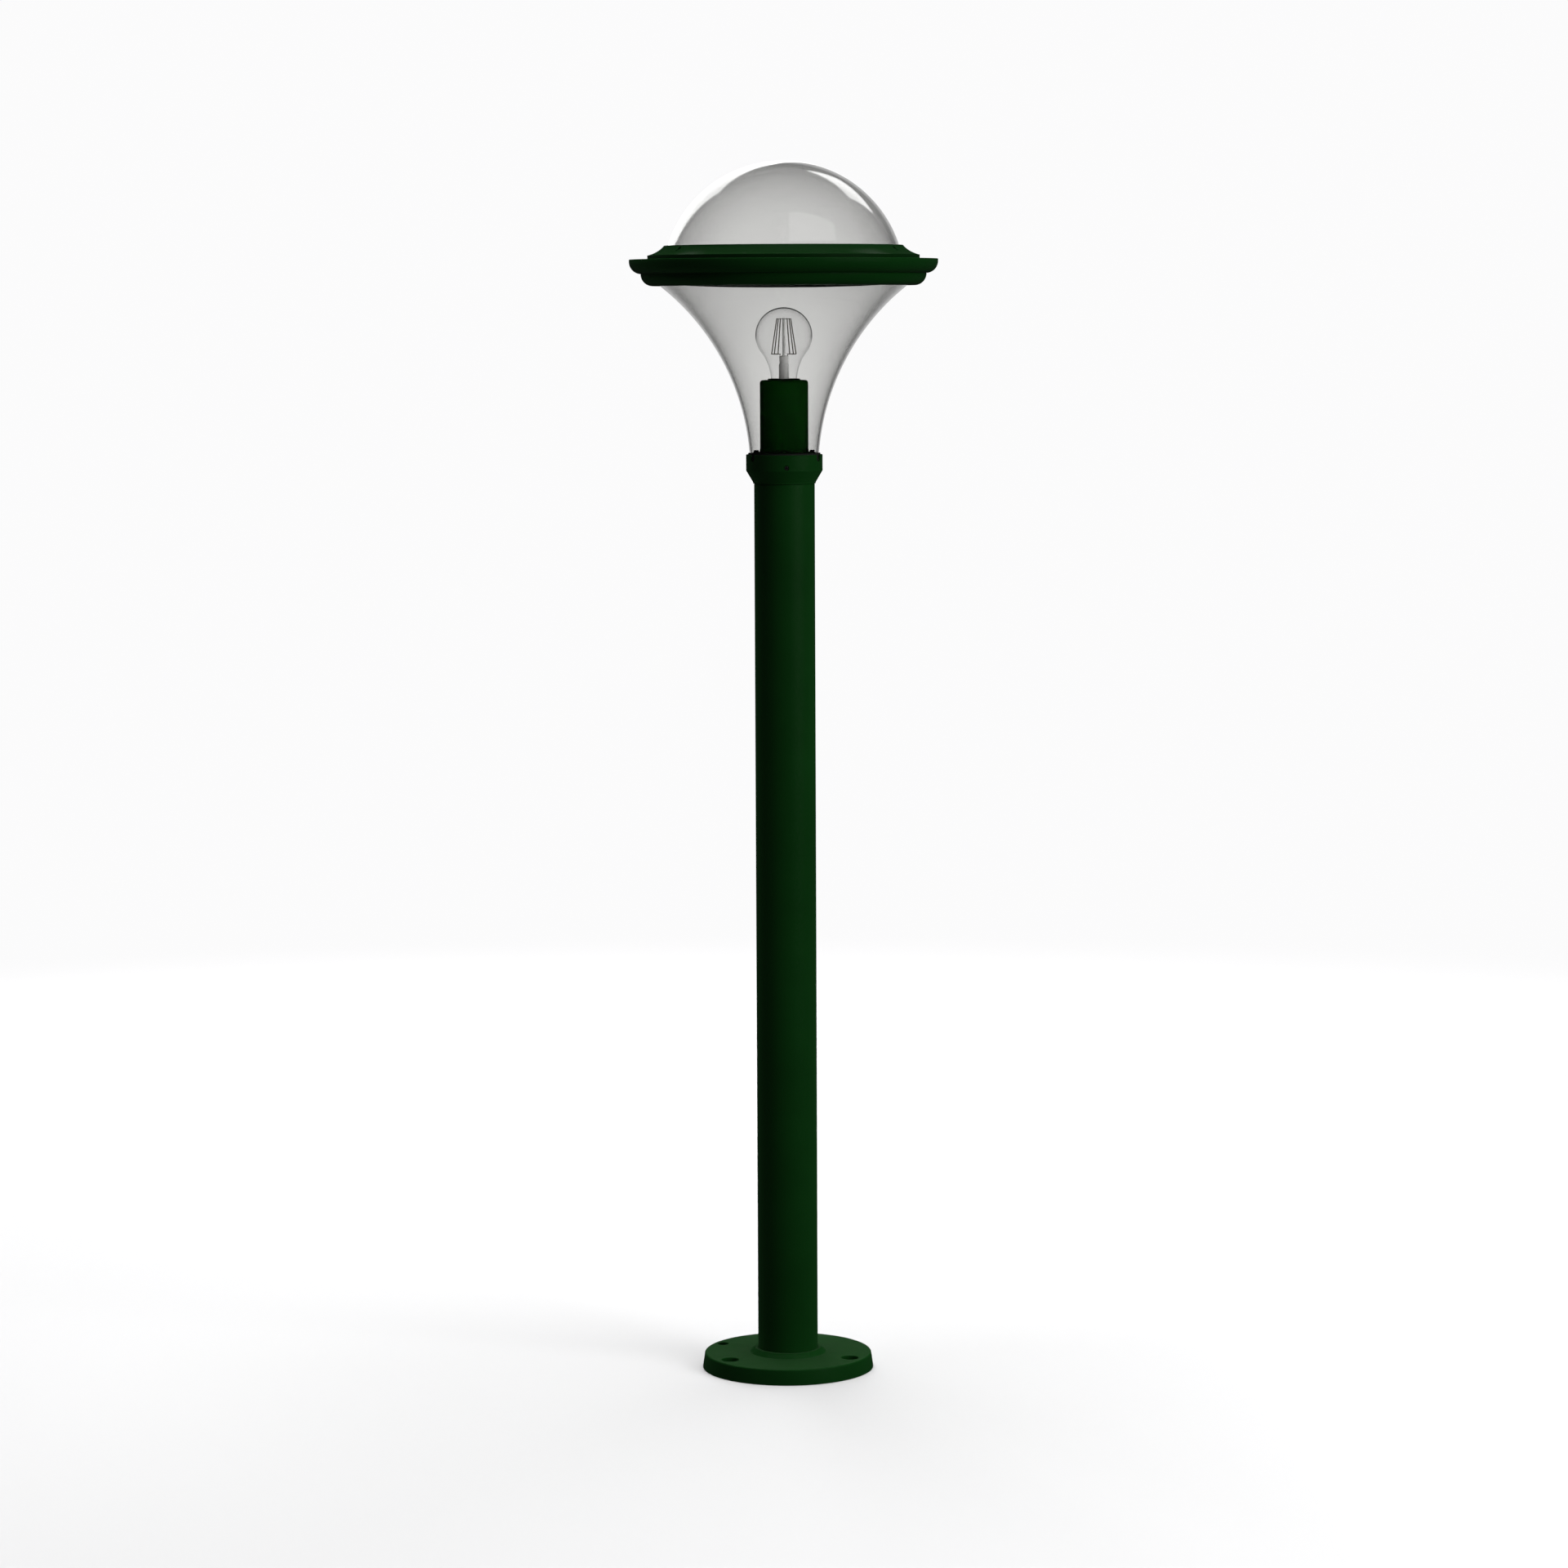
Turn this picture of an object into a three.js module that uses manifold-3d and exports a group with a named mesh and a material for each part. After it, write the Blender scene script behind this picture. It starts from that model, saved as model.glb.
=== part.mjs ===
// Bollard lamp: a cast foot, a straight post, a cast neck and a lift-off head with a clear
// trumpet diffuser, a moulded gallery ring, a crown ring and a clear dome, round a filament bulb.
// Millimetres, +Z up. The origin is the centre of the foot's underside.

import * as THREE from 'three';
import { mergeVertices } from 'three/addons/utils/BufferGeometryUtils.js';
import Module from 'manifold-3d';

const wasm = await Module();
wasm.setup();

// Driving dimensions ---------------------------------------------------------------------------

const gap = 0.3;                   // between pieces that touch in the real lamp
const holeClearance = 0.35;        // from a screw or stem to the wall of its hole
const ringSides = 40;              // facets of the wide rings
const tubeSides = 32;              // facets of the post, the collar and the cover
const smallSides = 12;             // facets of screws and other small round pieces

// Foot
const footRadius = 85.9;
const footThickness = 15.6;
const footTaper = 2.2;             // the rim leans in by this much
const footEdgeRound = 2.0;
const footFloor = 5.0;             // thickness left under the post
const bossFootWidth = 8.0;         // boss beyond the post at its foot
const bossTopWidth = 3.2;          // and at its top
const bossHeight = 4.6;
const fixingHoleRadius = 8.7;
const fixingEdgeDistance = 16.7;   // hole centres in from the foot's edge
const earthHoleRadius = 5.6;
const earthEdgeDistance = 12.0;
const cableHoleRadius = 12.0;
const bushWall = 3.6;
const bushLip = 2.8;
const bushLipHeight = 2.2;

// Post
const postRadius = 30.0;
const postWall = 3.0;
const postLength = 883.7;

// Trumpet diffuser: its outside is one circular arc, upright at the neck
const mouthRadius = 130.35;
const flareHeight = 188.2;
const trumpetWall = 2.0;

// Collar
const lipWidth = 1.0;
const lipHeight = 1.2;
const coneHeight = 11.6;
const cylinderHeight = 15.9;
const collarChamfer = 0.8;
const cupWall = 1.8;               // collar wall outside the gasket
const spigotLength = 28.0;
const spigotWall = 3.8;
const coreRadialClearance = 0.46;  // core and holder plate inside the trumpet's neck
const coreDrop = 0.9;              // core top below the collar's rim
const notchWidth = 7.0;
const notchDepth = 7.0;
const neckGasketWall = 0.8;
const neckGasketStand = 1.4;       // gasket above the collar's rim
const neckGasketHeight = 9.8;
const neckScrewRadius = 2.0;
const neckScrewLength = 3.4;
const neckScrewRise = 3.4;         // screw axis above the cone
const ringCord = 0.8;              // section radius of the spigot's sealing ring
const collarScrewRadius = 2.0;
const collarScrewDrop = 14.0;      // below the top of the post

// Lampholder, its plate and cover
const plateThickness = 2.8;
const registerHeight = 5.8;
const registerWall = 2.5;
const coverSpace = 7.95;           // cover's outside beyond the lampholder's
const screwLedge = 7.05;           // plate beyond the cover's foot, where its screws sit
const coverWall = 2.0;
const coverHeight = 70.9;
const coverEdgeRound = 3.3;
const coverFootFlare = 0.3;
const coverFootHeight = 3.0;
const rimStand = 1.4;              // holder rim above the cover
const holderWall = 1.7;
const holderHeight = 49.0;
const holderFloor = 5.7;
const shellWall = 0.4;
const shellHeight = 31.0;
const shellTopDrop = 3.8;
const stemRadius = 5.0;
const stemBore = 3.6;
const nutRadius = 8.0;
const nutHeight = 4.4;
const trayThickness = 1.8;
const trayLength = 75.0;
const blockHeight = 22.0;
const blockDrop = 33.0;            // block top below the tray's tab
const leadRadius = 1.0;
const leadSpacing = 3.0;
const smallScrewRadius = 1.5;
const smallHeadRadius = 2.6;
const smallHeadHeight = 1.8;

// Bulb
const capRadius = 13.15;
const capClearance = 0.35;         // between the cap and the holder's shell
const capHeight = 24.4;
const capWall = 0.5;
const globeRadius = 28.0;
const glassWall = 0.9;
const globeRise = 49.0;            // globe centre above the cap
const bulbNeckInset = 0.85;        // glass neck inside the cap's outside
const stemGlassRadius = 5.0;
const strandSpread = 51;           // degrees between the strands of one half of the cage
const cageTurn = 7.7;              // degrees from +X to the middle of the right half
const cageHalfArc = 65;            // the lower wire of each half reaches this far each way
const filamentRadius = 0.7;
const cageBottomRadius = 12.2;
const cageTopRadius = 7.0;
const cageHeight = 35.2;

// Gallery ring (lower ring)
const galleryReach = 21.75;        // gallery's edge beyond the trumpet's mouth
const upperRound = 12.0;           // radius of the upper convex moulding
const lowerRound = 11.75;          // radius of the lower convex moulding
const galleryHeight = 26.05;
const galleryDrop = 6.45;          // gallery's underside below the trumpet's mouth
const galleryEdge = 2.2;           // upright edge above the upper moulding
const seatGapWall = 1.5;           // thickness of the seal under the trumpet's mouth
const seatWidthDegrees = 1.2;
const rebateDepth = 5.6;
const rebateWidth = 9.2;           // rim of the gallery outside the crown's flange

// Crown ring (upper ring) and dome
const crownEdgeInset = 18.1;       // crown's upright edge in from the gallery's edge
const crownEdgeHeight = 3.8;
const covedHeight = 9.6;
const crownTopWidth = 3.2;
const crownSkirtWall = 5.4;
const crownSkirtLength = 10.8;
const domeLedgeWidth = 5.1;
const domeLedgeThickness = 2.7;
const domeSocketDepth = 14.1;
const domeInset = 17.15;           // dome's neck in from the trumpet's mouth
const domeRadialClearance = 1.4;
const domeWall = 3.0;
const domeRise = 81.0;             // dome top above its straight neck
const domeNeckStand = 1.5;         // straight neck above the crown
const domeSealThickness = 1.1;
const domeScrewRadius = 1.5;
const domeScrewLength = 4.7;
const domeScrewDrop = 3.5;         // below the top of the crown
const crownScrewLength = 9.0;

// Heights and radii worked out from them -------------------------------------------------------

const shellRadius = capRadius + capClearance + shellWall;
const holderInner = shellRadius + gap;
const holderRadius = holderInner + holderWall;
const coverRadius = holderRadius + coverSpace;
const coreRadius = coverRadius + coverFootFlare + screwLedge;
const neckInner = coreRadius + coreRadialClearance;
const neckRadius = neckInner + trumpetWall;
const galleryRadius = mouthRadius + galleryReach;
const domeNeckRadius = mouthRadius - domeInset;

const postBottom = footFloor + gap;
const postTop = postBottom + postLength;
const postBore = postRadius - postWall;

const shoulder = postTop + gap;
const coneBottom = shoulder + lipHeight;
const coneTop = coneBottom + coneHeight;
const collarTop = coneTop + cylinderHeight;
const grooveFloor = coneTop - 1.0;
const trumpetBottom = grooveFloor + 0.7;
const flareRun = mouthRadius - neckRadius;
const flareRadius = (flareRun ** 2 + flareHeight ** 2) / (2 * flareRun);
const flareCentre = new THREE.Vector2(neckRadius + flareRadius, trumpetBottom);
const flareEnd = THREE.MathUtils.radToDeg(Math.asin(flareHeight / flareRadius));
const trumpetRadiusAt = (z) => flareCentre.x - Math.sqrt(flareRadius ** 2 - (z - flareCentre.y) ** 2);

const neckGasketTop = collarTop + neckGasketStand;
const neckGasketInner = trumpetRadiusAt(neckGasketTop) + 2 * gap;
const neckGasketOuter = neckGasketInner + neckGasketWall;
const cupRadius = neckGasketOuter + gap;
const collarRadius = cupRadius + cupWall;
const spigotRadius = postBore - gap;
const boreRadius = spigotRadius - spigotWall;
const coreTop = collarTop - coreDrop;

const plateBottom = coreTop + gap;
const plateTop = plateBottom + plateThickness;
const coverBottom = plateTop + gap;
const coverTop = coverBottom + coverHeight;
const coverInner = coverRadius - coverWall;
const registerRadius = coverInner - 0.45;
const plateScrewCircle = (coverRadius + coverFootFlare + coreRadius) / 2;
const rimTop = coverTop + rimStand;
const holderBottom = rimTop - holderHeight;
const holderFloorTop = holderBottom + holderFloor;
const shellTop = rimTop - shellTopDrop;
const shellBottom = shellTop - shellHeight;

const trayTop = coreTop;
const tabBottom = trayTop - trayThickness;
const trayHalfWidth = boreRadius / 2;
const trayBack = boreRadius * 0.56;
const trayFace = trayBack - trayThickness;
const trayBottom = trayTop - trayLength;
const blockTop = tabBottom - blockDrop;
const blockBottom = blockTop - blockHeight;
const blockFront = trayFace - gap - 13;
const lowerNutTop = tabBottom - gap;
const stemBottom = lowerNutTop - nutHeight - 1.1;
const stemTop = holderFloorTop - 1.5;

const capTop = rimTop - 6.4;
const capBottom = capTop - capHeight;
const globeCentre = capTop + globeRise;
const bulbNeckRadius = capRadius - bulbNeckInset;
const cageBottom = globeCentre - 18.4;
const cageTop = cageBottom + cageHeight;
const stemGlassTop = cageBottom - 2.0;

const seatRadius = flareRadius - 2 * gap - seatGapWall;
const galleryBottom = trumpetBottom + flareHeight - galleryDrop;
const galleryTop = galleryBottom + galleryHeight;
const seatStart = THREE.MathUtils.radToDeg(Math.asin((galleryBottom - flareCentre.y) / seatRadius));
const seatEnd = flareEnd + seatWidthDegrees;
const onFlare = (radius, degrees) => new THREE.Vector2(
  flareCentre.x - radius * Math.cos(THREE.MathUtils.degToRad(degrees)),
  flareCentre.y + radius * Math.sin(THREE.MathUtils.degToRad(degrees)),
);
const seatTop = onFlare(seatRadius, seatEnd);
const rebateFloor = galleryTop - rebateDepth;
const rebateRadius = galleryRadius - rebateWidth;

const crownFlangeRadius = rebateRadius - gap;
const crownFlangeBottom = rebateFloor + gap;
const crownEdgeRadius = galleryRadius - crownEdgeInset;
const crownBase = galleryTop;
const coveBottom = crownBase + crownEdgeHeight;
const crownTop = coveBottom + covedHeight;
const domeBoreRadius = domeNeckRadius + domeRadialClearance;
const crownTopRadius = domeBoreRadius + crownTopWidth;
const skirtOuter = seatTop.x - gap;
const skirtInner = skirtOuter - crownSkirtWall;
const ledgeTop = crownTop - domeSocketDepth;
const ledgeInner = domeBoreRadius - domeLedgeWidth;
const domeSealTop = ledgeTop + gap + domeSealThickness;
const domeBottom = domeSealTop + gap;
const domeNeckTop = crownTop + domeNeckStand;
const domeRadius = (domeNeckRadius ** 2 + domeRise ** 2) / (2 * domeRise);
const domeCentre = domeNeckTop + domeRise - domeRadius;
const crownScrewCircle = (seatTop.x + rebateRadius) / 2 - 0.4;

// The lamp has a three-fold pattern: holes, notches and dome screws, with neck screws between
const holeAngles = [90, 210, 330];
const neckScrewAngles = [30, 150, 270];

// Shape helpers --------------------------------------------------------------------------------

const at = (radius, height) => new THREE.Vector2(radius, height);

function arc(centreRadius, centreHeight, radius, fromDegrees, toDegrees, steps) {
  const points = [];
  for (let i = 0; i <= steps; i += 1) {
    const angle = THREE.MathUtils.degToRad(fromDegrees + ((toDegrees - fromDegrees) * i) / steps);
    points.push(at(centreRadius + radius * Math.cos(angle), centreHeight + radius * Math.sin(angle)));
  }
  return points;
}

// A solid of revolution about Z. The outline either closes on itself or ends on the axis.
function turned(outline, sides) {
  const points = THREE.ShapeUtils.isClockWise(outline) ? [...outline].reverse() : [...outline];
  const onAxis = points.filter((point) => point.x === 0).length > 1;
  if (onAxis) {
    while (!(points[0].x === 0 && points[points.length - 1].x === 0)) points.push(points.shift());
  } else {
    points.push(points[0].clone());
  }
  return new THREE.LatheGeometry(points, sides).rotateX(Math.PI / 2);
}

function ring(inner, outer, bottom, top, sides) {
  return turned([at(inner, bottom), at(outer, bottom), at(outer, top), at(inner, top)], sides);
}

function rod(radius, bottom, top, sides = smallSides) {
  return new THREE.CylinderGeometry(radius, radius, top - bottom, sides)
    .rotateX(Math.PI / 2)
    .translate(0, 0, (bottom + top) / 2);
}

function hexagon(radius, bottom, top) {
  return rod(radius, bottom, top, 6);
}

function box(low, high) {
  const size = high.map((value, axis) => value - low[axis]);
  const centre = high.map((value, axis) => (value + low[axis]) / 2);
  return new THREE.BoxGeometry(...size).translate(...centre);
}

// A shape made along +Z, laid radially outwards at an angle and a height
function radial(geometry, degrees, height) {
  return geometry
    .rotateY(Math.PI / 2)
    .rotateZ(THREE.MathUtils.degToRad(degrees))
    .translate(0, 0, height);
}

function aroundAxis(geometry, radius, degrees) {
  const angle = THREE.MathUtils.degToRad(degrees);
  return geometry.translate(radius * Math.cos(angle), radius * Math.sin(angle), 0);
}

function solid(geometry) {
  const plain = geometry.clone();
  plain.deleteAttribute('normal');
  plain.deleteAttribute('uv');
  const merged = mergeVertices(plain, 1e-4);
  const index = merged.getIndex().array;
  const kept = [];
  for (let i = 0; i < index.length; i += 3) {
    const [a, b, c] = [index[i], index[i + 1], index[i + 2]];
    if (a !== b && b !== c && c !== a) kept.push(a, b, c);
  }
  return new wasm.Manifold(new wasm.Mesh({
    numProp: 3,
    vertProperties: new Float32Array(merged.getAttribute('position').array),
    triVerts: new Uint32Array(kept),
  }));
}

function geometryOf(manifold) {
  const mesh = manifold.getMesh();
  const geometry = new THREE.BufferGeometry();
  geometry.setAttribute('position', new THREE.BufferAttribute(mesh.vertProperties, 3));
  geometry.setIndex(new THREE.BufferAttribute(mesh.triVerts, 1));
  geometry.computeVertexNormals();
  return geometry;
}

function joined(...geometries) {
  return geometryOf(geometries.map(solid).reduce((whole, piece) => whole.add(piece)));
}

function cut(geometry, ...tools) {
  return geometryOf(tools.reduce((whole, tool) => whole.subtract(solid(tool)), solid(geometry)));
}

// A headless screw along +Z with a hexagon socket in its outer end
function grubScrew(radius, from, to) {
  const socketDepth = (to - from) * 0.45;
  return cut(rod(radius, from, to), hexagon(radius * 0.55, to - socketDepth, to + 1));
}

// A headed screw along +Z, its point at the bottom
function headedScrew(radius, headRadius, point, underHead, headHeight) {
  const whole = joined(rod(radius, point, underHead + 0.1), rod(headRadius, underHead, underHead + headHeight));
  return cut(whole, hexagon(headRadius * 0.5, underHead + headHeight * 0.4, underHead + headHeight + 1));
}

// Finishes and the group -----------------------------------------------------------------------

const finishes = {
  greenPaint: { color: 0x0d2a10, roughness: 0.45, metalness: 0.0 },
  clearAcrylic: { color: 0xe4e6e4, roughness: 0.05, metalness: 0.0, transparent: true, opacity: 0.35 },
  clearGlass: { color: 0xf0f2f1, roughness: 0.03, metalness: 0.0, transparent: true, opacity: 0.3 },
  blackRubber: { color: 0x141414, roughness: 0.8, metalness: 0.0 },
  stainlessSteel: { color: 0x8e9290, roughness: 0.35, metalness: 1.0 },
  zincSteel: { color: 0xa9acab, roughness: 0.4, metalness: 1.0 },
  brass: { color: 0xb08a45, roughness: 0.35, metalness: 1.0 },
  blackPhenolic: { color: 0x0c1410, roughness: 0.4, metalness: 0.0 },
  whiteNylon: { color: 0xd9d7ce, roughness: 0.6, metalness: 0.0 },
  brownInsulation: { color: 0x5a3318, roughness: 0.55, metalness: 0.0 },
  blueInsulation: { color: 0x1f4f8f, roughness: 0.55, metalness: 0.0 },
  yellowFilament: { color: 0xb9b08a, roughness: 0.6, metalness: 0.0 },
};

const lamp = new THREE.Group();

function add(name, geometry, finish) {
  const mesh = new THREE.Mesh(geometry, new THREE.MeshStandardMaterial(finishes[finish]));
  mesh.name = name;
  lamp.add(mesh);
}

// Foot and post --------------------------------------------------------------------------------

function baseFlange() {
  const topRadius = footRadius - footTaper;
  const outline = [
    at(cableHoleRadius, 0),
    at(footRadius, 0),
    ...arc(topRadius - footEdgeRound, footThickness - footEdgeRound, footEdgeRound, 0, 90, 3),
    at(postRadius + bossFootWidth, footThickness),
    at(postRadius + bossTopWidth, footThickness + bossHeight),
    at(postRadius + gap, footThickness + bossHeight),
    at(postRadius + gap, footFloor),
    at(cableHoleRadius, footFloor),
  ];
  const fixings = holeAngles.map((angle) => aroundAxis(
    rod(fixingHoleRadius, -1, footThickness + 1, 16),
    footRadius - fixingEdgeDistance,
    angle,
  ));
  const earthHole = aroundAxis(rod(earthHoleRadius, -1, footThickness + 1), footRadius - earthEdgeDistance, 150);
  return cut(turned(outline, ringSides), ...fixings, earthHole);
}

function cableBush() {
  const outer = cableHoleRadius - gap;
  return turned([
    at(outer - bushWall, 0.5),
    at(outer, 0.5),
    at(outer, footFloor + gap),
    at(outer + bushLip, footFloor + gap),
    at(outer + bushLip, footFloor + gap + bushLipHeight),
    at(outer - bushWall, footFloor + gap + bushLipHeight),
  ], smallSides * 2);
}

const collarScrewAngles = { collar_screw_right: 45, collar_screw_left: 135 };
const collarScrewHeight = postTop - collarScrewDrop;
const crossHole = (angle, height, radius, from, to) => radial(rod(radius, from, to), angle, height);

function poleTube() {
  const holes = Object.values(collarScrewAngles).map((angle) => crossHole(
    angle, collarScrewHeight, collarScrewRadius + holeClearance, postBore - 2, postRadius + 2,
  ));
  return cut(ring(postBore, postRadius, postBottom, postTop, tubeSides), ...holes);
}

// The bush's lip stands on the foot's floor inside the post
add('base_flange', baseFlange(), 'greenPaint');
add('cable_bush', cableBush(), 'blackRubber');
add('pole_tube', poleTube(), 'greenPaint');

// Collar ---------------------------------------------------------------------------------------

const ringGrooveHeight = shoulder - spigotLength + 6.7;
const neckScrewHeight = coneTop + neckScrewRise;

function neckCollar() {
  const grooveDepth = 2 * ringCord + gap;
  const grooveHalf = ringCord + gap;
  const spigotEnd = shoulder - spigotLength;
  const outline = [
    at(boreRadius, spigotEnd),
    at(spigotRadius, spigotEnd),
    at(spigotRadius, ringGrooveHeight - grooveHalf),
    at(spigotRadius - grooveDepth, ringGrooveHeight - grooveHalf),
    at(spigotRadius - grooveDepth, ringGrooveHeight + grooveHalf),
    at(spigotRadius, ringGrooveHeight + grooveHalf),
    at(spigotRadius, shoulder),
    at(postRadius + lipWidth, shoulder),
    at(postRadius + lipWidth, coneBottom),
    at(collarRadius, coneTop),
    at(collarRadius, collarTop - collarChamfer),
    at(collarRadius - collarChamfer, collarTop),
    at(cupRadius, collarTop),
    at(cupRadius, grooveFloor),
    at(coreRadius, grooveFloor),
    at(coreRadius, coreTop),
    at(boreRadius, coreTop),
  ];
  const notches = holeAngles.map((angle) => {
    const slot = box([-cupRadius, -notchWidth / 2, 0], [cupRadius, notchWidth / 2, notchDepth * 2]);
    const round = rod(notchWidth / 2, -cupRadius, cupRadius).rotateY(Math.PI / 2);
    const tool = joined(slot, round).translate(2 * cupRadius - cupWall, 0, 0);
    return tool.rotateZ(THREE.MathUtils.degToRad(angle))
      .translate(0, 0, collarTop - notchDepth + notchWidth / 2);
  });
  const neckHoles = neckScrewAngles.map((angle) => crossHole(
    angle, neckScrewHeight, neckScrewRadius + holeClearance, cupRadius - 2, collarRadius + 2,
  ));
  const collarHoles = Object.values(collarScrewAngles).map((angle) => crossHole(
    angle, collarScrewHeight, collarScrewRadius + holeClearance, boreRadius - 2, spigotRadius + 2,
  ));
  const plateHoles = [0, 180].map((angle) => aroundAxis(
    rod(smallScrewRadius + holeClearance, coreTop - 9, coreTop + 1), plateScrewCircle, angle,
  ));
  return cut(turned(outline, tubeSides), ...notches, ...neckHoles, ...collarHoles, ...plateHoles);
}

add('neck_collar', neckCollar(), 'greenPaint');

const ringCentre = spigotRadius - ringCord;
add('spigot_oring', new THREE.TorusGeometry(ringCentre, ringCord, 6, tubeSides)
  .translate(0, 0, ringGrooveHeight), 'blackRubber');

Object.entries(collarScrewAngles).forEach(([name, angle]) => {
  const screw = headedScrew(collarScrewRadius, 3.6, boreRadius + 1, postRadius + gap, 2.0);
  add(name, radial(screw, angle, collarScrewHeight), 'stainlessSteel');
});

add('neck_gasket', ring(
  neckGasketInner, neckGasketOuter, neckGasketTop - neckGasketHeight, neckGasketTop, tubeSides,
), 'blackRubber');

neckScrewAngles.forEach((angle, i) => {
  const tip = neckRadius + 0.05 + gap;
  add(`neck_screw_${i + 1}`, radial(grubScrew(neckScrewRadius, tip, tip + neckScrewLength), angle, neckScrewHeight),
    'stainlessSteel');
});

// Holder plate, stem, nuts and cover -----------------------------------------------------------

const coverScrewHeight = coverBottom + coverFootHeight;

function holderPlate() {
  const registerTop = plateTop + registerHeight;
  const stemHole = stemRadius + holeClearance;
  const outline = [
    at(stemHole, plateBottom),
    at(coreRadius, plateBottom),
    at(coreRadius, plateTop),
    at(registerRadius, plateTop),
    at(registerRadius, registerTop),
    at(registerRadius - registerWall, registerTop),
    at(registerRadius - registerWall, plateTop),
    at(stemHole, plateTop),
  ];
  const screwHoles = [0, 180].map((angle) => aroundAxis(
    rod(smallScrewRadius + holeClearance, plateBottom - 1, plateTop + 1), plateScrewCircle, angle,
  ));
  const sideHole = crossHole(
    90, coverScrewHeight, smallScrewRadius + holeClearance, registerRadius - registerWall - 1, registerRadius + 1,
  );
  return cut(turned(outline, tubeSides), ...screwHoles, sideHole);
}

function holderCover() {
  const foot = coverBottom + coverFootHeight;
  const mouth = holderRadius + 0.4;
  const innerRound = coverEdgeRound - coverWall * 0.6;
  const outline = [
    at(coverInner, coverBottom),
    at(coverRadius + coverFootFlare, coverBottom),
    at(coverRadius + coverFootFlare, foot - 1),
    at(coverRadius, foot),
    ...arc(coverRadius - coverEdgeRound, coverTop - coverEdgeRound, coverEdgeRound, 0, 90, 3),
    at(mouth, coverTop),
    at(mouth, coverTop - coverWall),
    ...arc(coverInner - innerRound, coverTop - coverWall - innerRound, innerRound, 90, 0, 2),
  ];
  const sideHole = crossHole(
    90, coverScrewHeight, smallScrewRadius + holeClearance, coverInner - 1, coverRadius + 2,
  );
  return cut(turned(outline, tubeSides), sideHole);
}

function nut(bottom) {
  return cut(hexagon(nutRadius, bottom, bottom + nutHeight), rod(stemRadius + holeClearance, bottom - 1, bottom + nutHeight + 1));
}

add('holder_plate', holderPlate(), 'greenPaint');
Object.entries({ plate_screw_right: 0, plate_screw_left: 180 }).forEach(([name, angle]) => {
  const screw = headedScrew(smallScrewRadius, smallHeadRadius, coreTop - 7.5, plateTop + gap, smallHeadHeight);
  add(name, aroundAxis(screw, plateScrewCircle, angle), 'stainlessSteel');
});
add('stem_nipple', ring(stemBore, stemRadius, stemBottom, stemTop, smallSides), 'zincSteel');
add('nipple_nut_upper', nut(plateTop + gap), 'zincSteel');
add('nipple_nut_lower', nut(lowerNutTop - nutHeight), 'zincSteel');
add('holder_cover', holderCover(), 'greenPaint');
add('cover_screw', radial(
  grubScrew(smallScrewRadius, registerRadius - registerWall + 0.3, coverRadius - 0.2), 90, coverScrewHeight,
), 'stainlessSteel');

// Lampholder -----------------------------------------------------------------------------------

function holderBody() {
  const hole = stemRadius + holeClearance;
  return turned([
    at(hole, holderBottom),
    at(holderRadius, holderBottom),
    at(holderRadius, rimTop),
    at(holderInner, rimTop),
    at(holderInner, holderFloorTop),
    at(hole, holderFloorTop),
  ], tubeSides);
}

function centreContact() {
  const base = holderFloorTop + gap;
  return turned([
    at(0, base),
    at(9, base),
    at(9, base + 1.5),
    at(5, base + 1.5),
    at(3.5, capBottom - 5.4),
    at(0, capBottom - 5.0),
  ], smallSides);
}

add('holder_body', holderBody(), 'blackPhenolic');
add('thread_shell', ring(shellRadius - shellWall, shellRadius, shellBottom, shellTop, tubeSides), 'brass');
add('centre_contact', centreContact(), 'brass');

// Terminal tray in the post's top --------------------------------------------------------------

const boreCurve = trayHalfWidth - 0.5;
const blockScrewHeight = (blockTop + blockBottom) / 2;
const blockScrewOffset = boreCurve / 3;
const earthScrewHeight = trayBottom + 8;

function terminalTray() {
  const tab = box([-trayHalfWidth, -trayHalfWidth * 0.8, tabBottom], [trayHalfWidth, trayBack, trayTop]);
  const leg = box([-trayHalfWidth, trayFace, trayBottom], [trayHalfWidth, trayBack, trayTop]);
  const holes = [
    rod(stemRadius + holeClearance, tabBottom - 1, trayTop + 1),
    crossHole(90, earthScrewHeight, collarScrewRadius + holeClearance, trayFace - 1, trayBack + 1),
    ...[-1, 1].map((side) => crossHole(
      90, blockScrewHeight, smallScrewRadius + holeClearance, trayFace - 1, trayBack + 1,
    ).translate(side * blockScrewOffset, 0, 0)),
  ];
  return cut(joined(tab, leg), ...holes);
}

function terminalBlock() {
  const body = box([-boreCurve, blockFront, blockBottom], [boreCurve, trayFace - gap, blockTop]);
  const wireway = [-2, 0, 2].map((pole) => rod(leadRadius + 0.6, blockTop - 6, blockTop + 1)
    .translate(pole * blockScrewOffset, blockFront + 6, 0));
  const screwHoles = [-1, 1].map((side) => crossHole(
    90, blockScrewHeight, smallScrewRadius + holeClearance, blockFront - 1, trayFace + 1,
  ).translate(side * blockScrewOffset, 0, 0));
  return cut(body, ...wireway, ...screwHoles);
}

function lead(side) {
  const start = new THREE.Vector3(side * 2 * blockScrewOffset, blockFront + 6, blockTop - 5);
  const end = new THREE.Vector3((side * leadSpacing) / 2, 0, stemTop + 1);
  const path = new THREE.CatmullRomCurve3([
    start,
    start.clone().setZ(blockTop + 6),
    new THREE.Vector3(end.x, end.y, stemBottom - 8),
    new THREE.Vector3(end.x, end.y, stemBottom + 10),
    end,
  ]);
  const section = new THREE.Shape().absarc(0, 0, leadRadius, 0, Math.PI * 2);
  return new THREE.ExtrudeGeometry(section, { steps: 16, curveSegments: 4, extrudePath: path });
}

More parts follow.
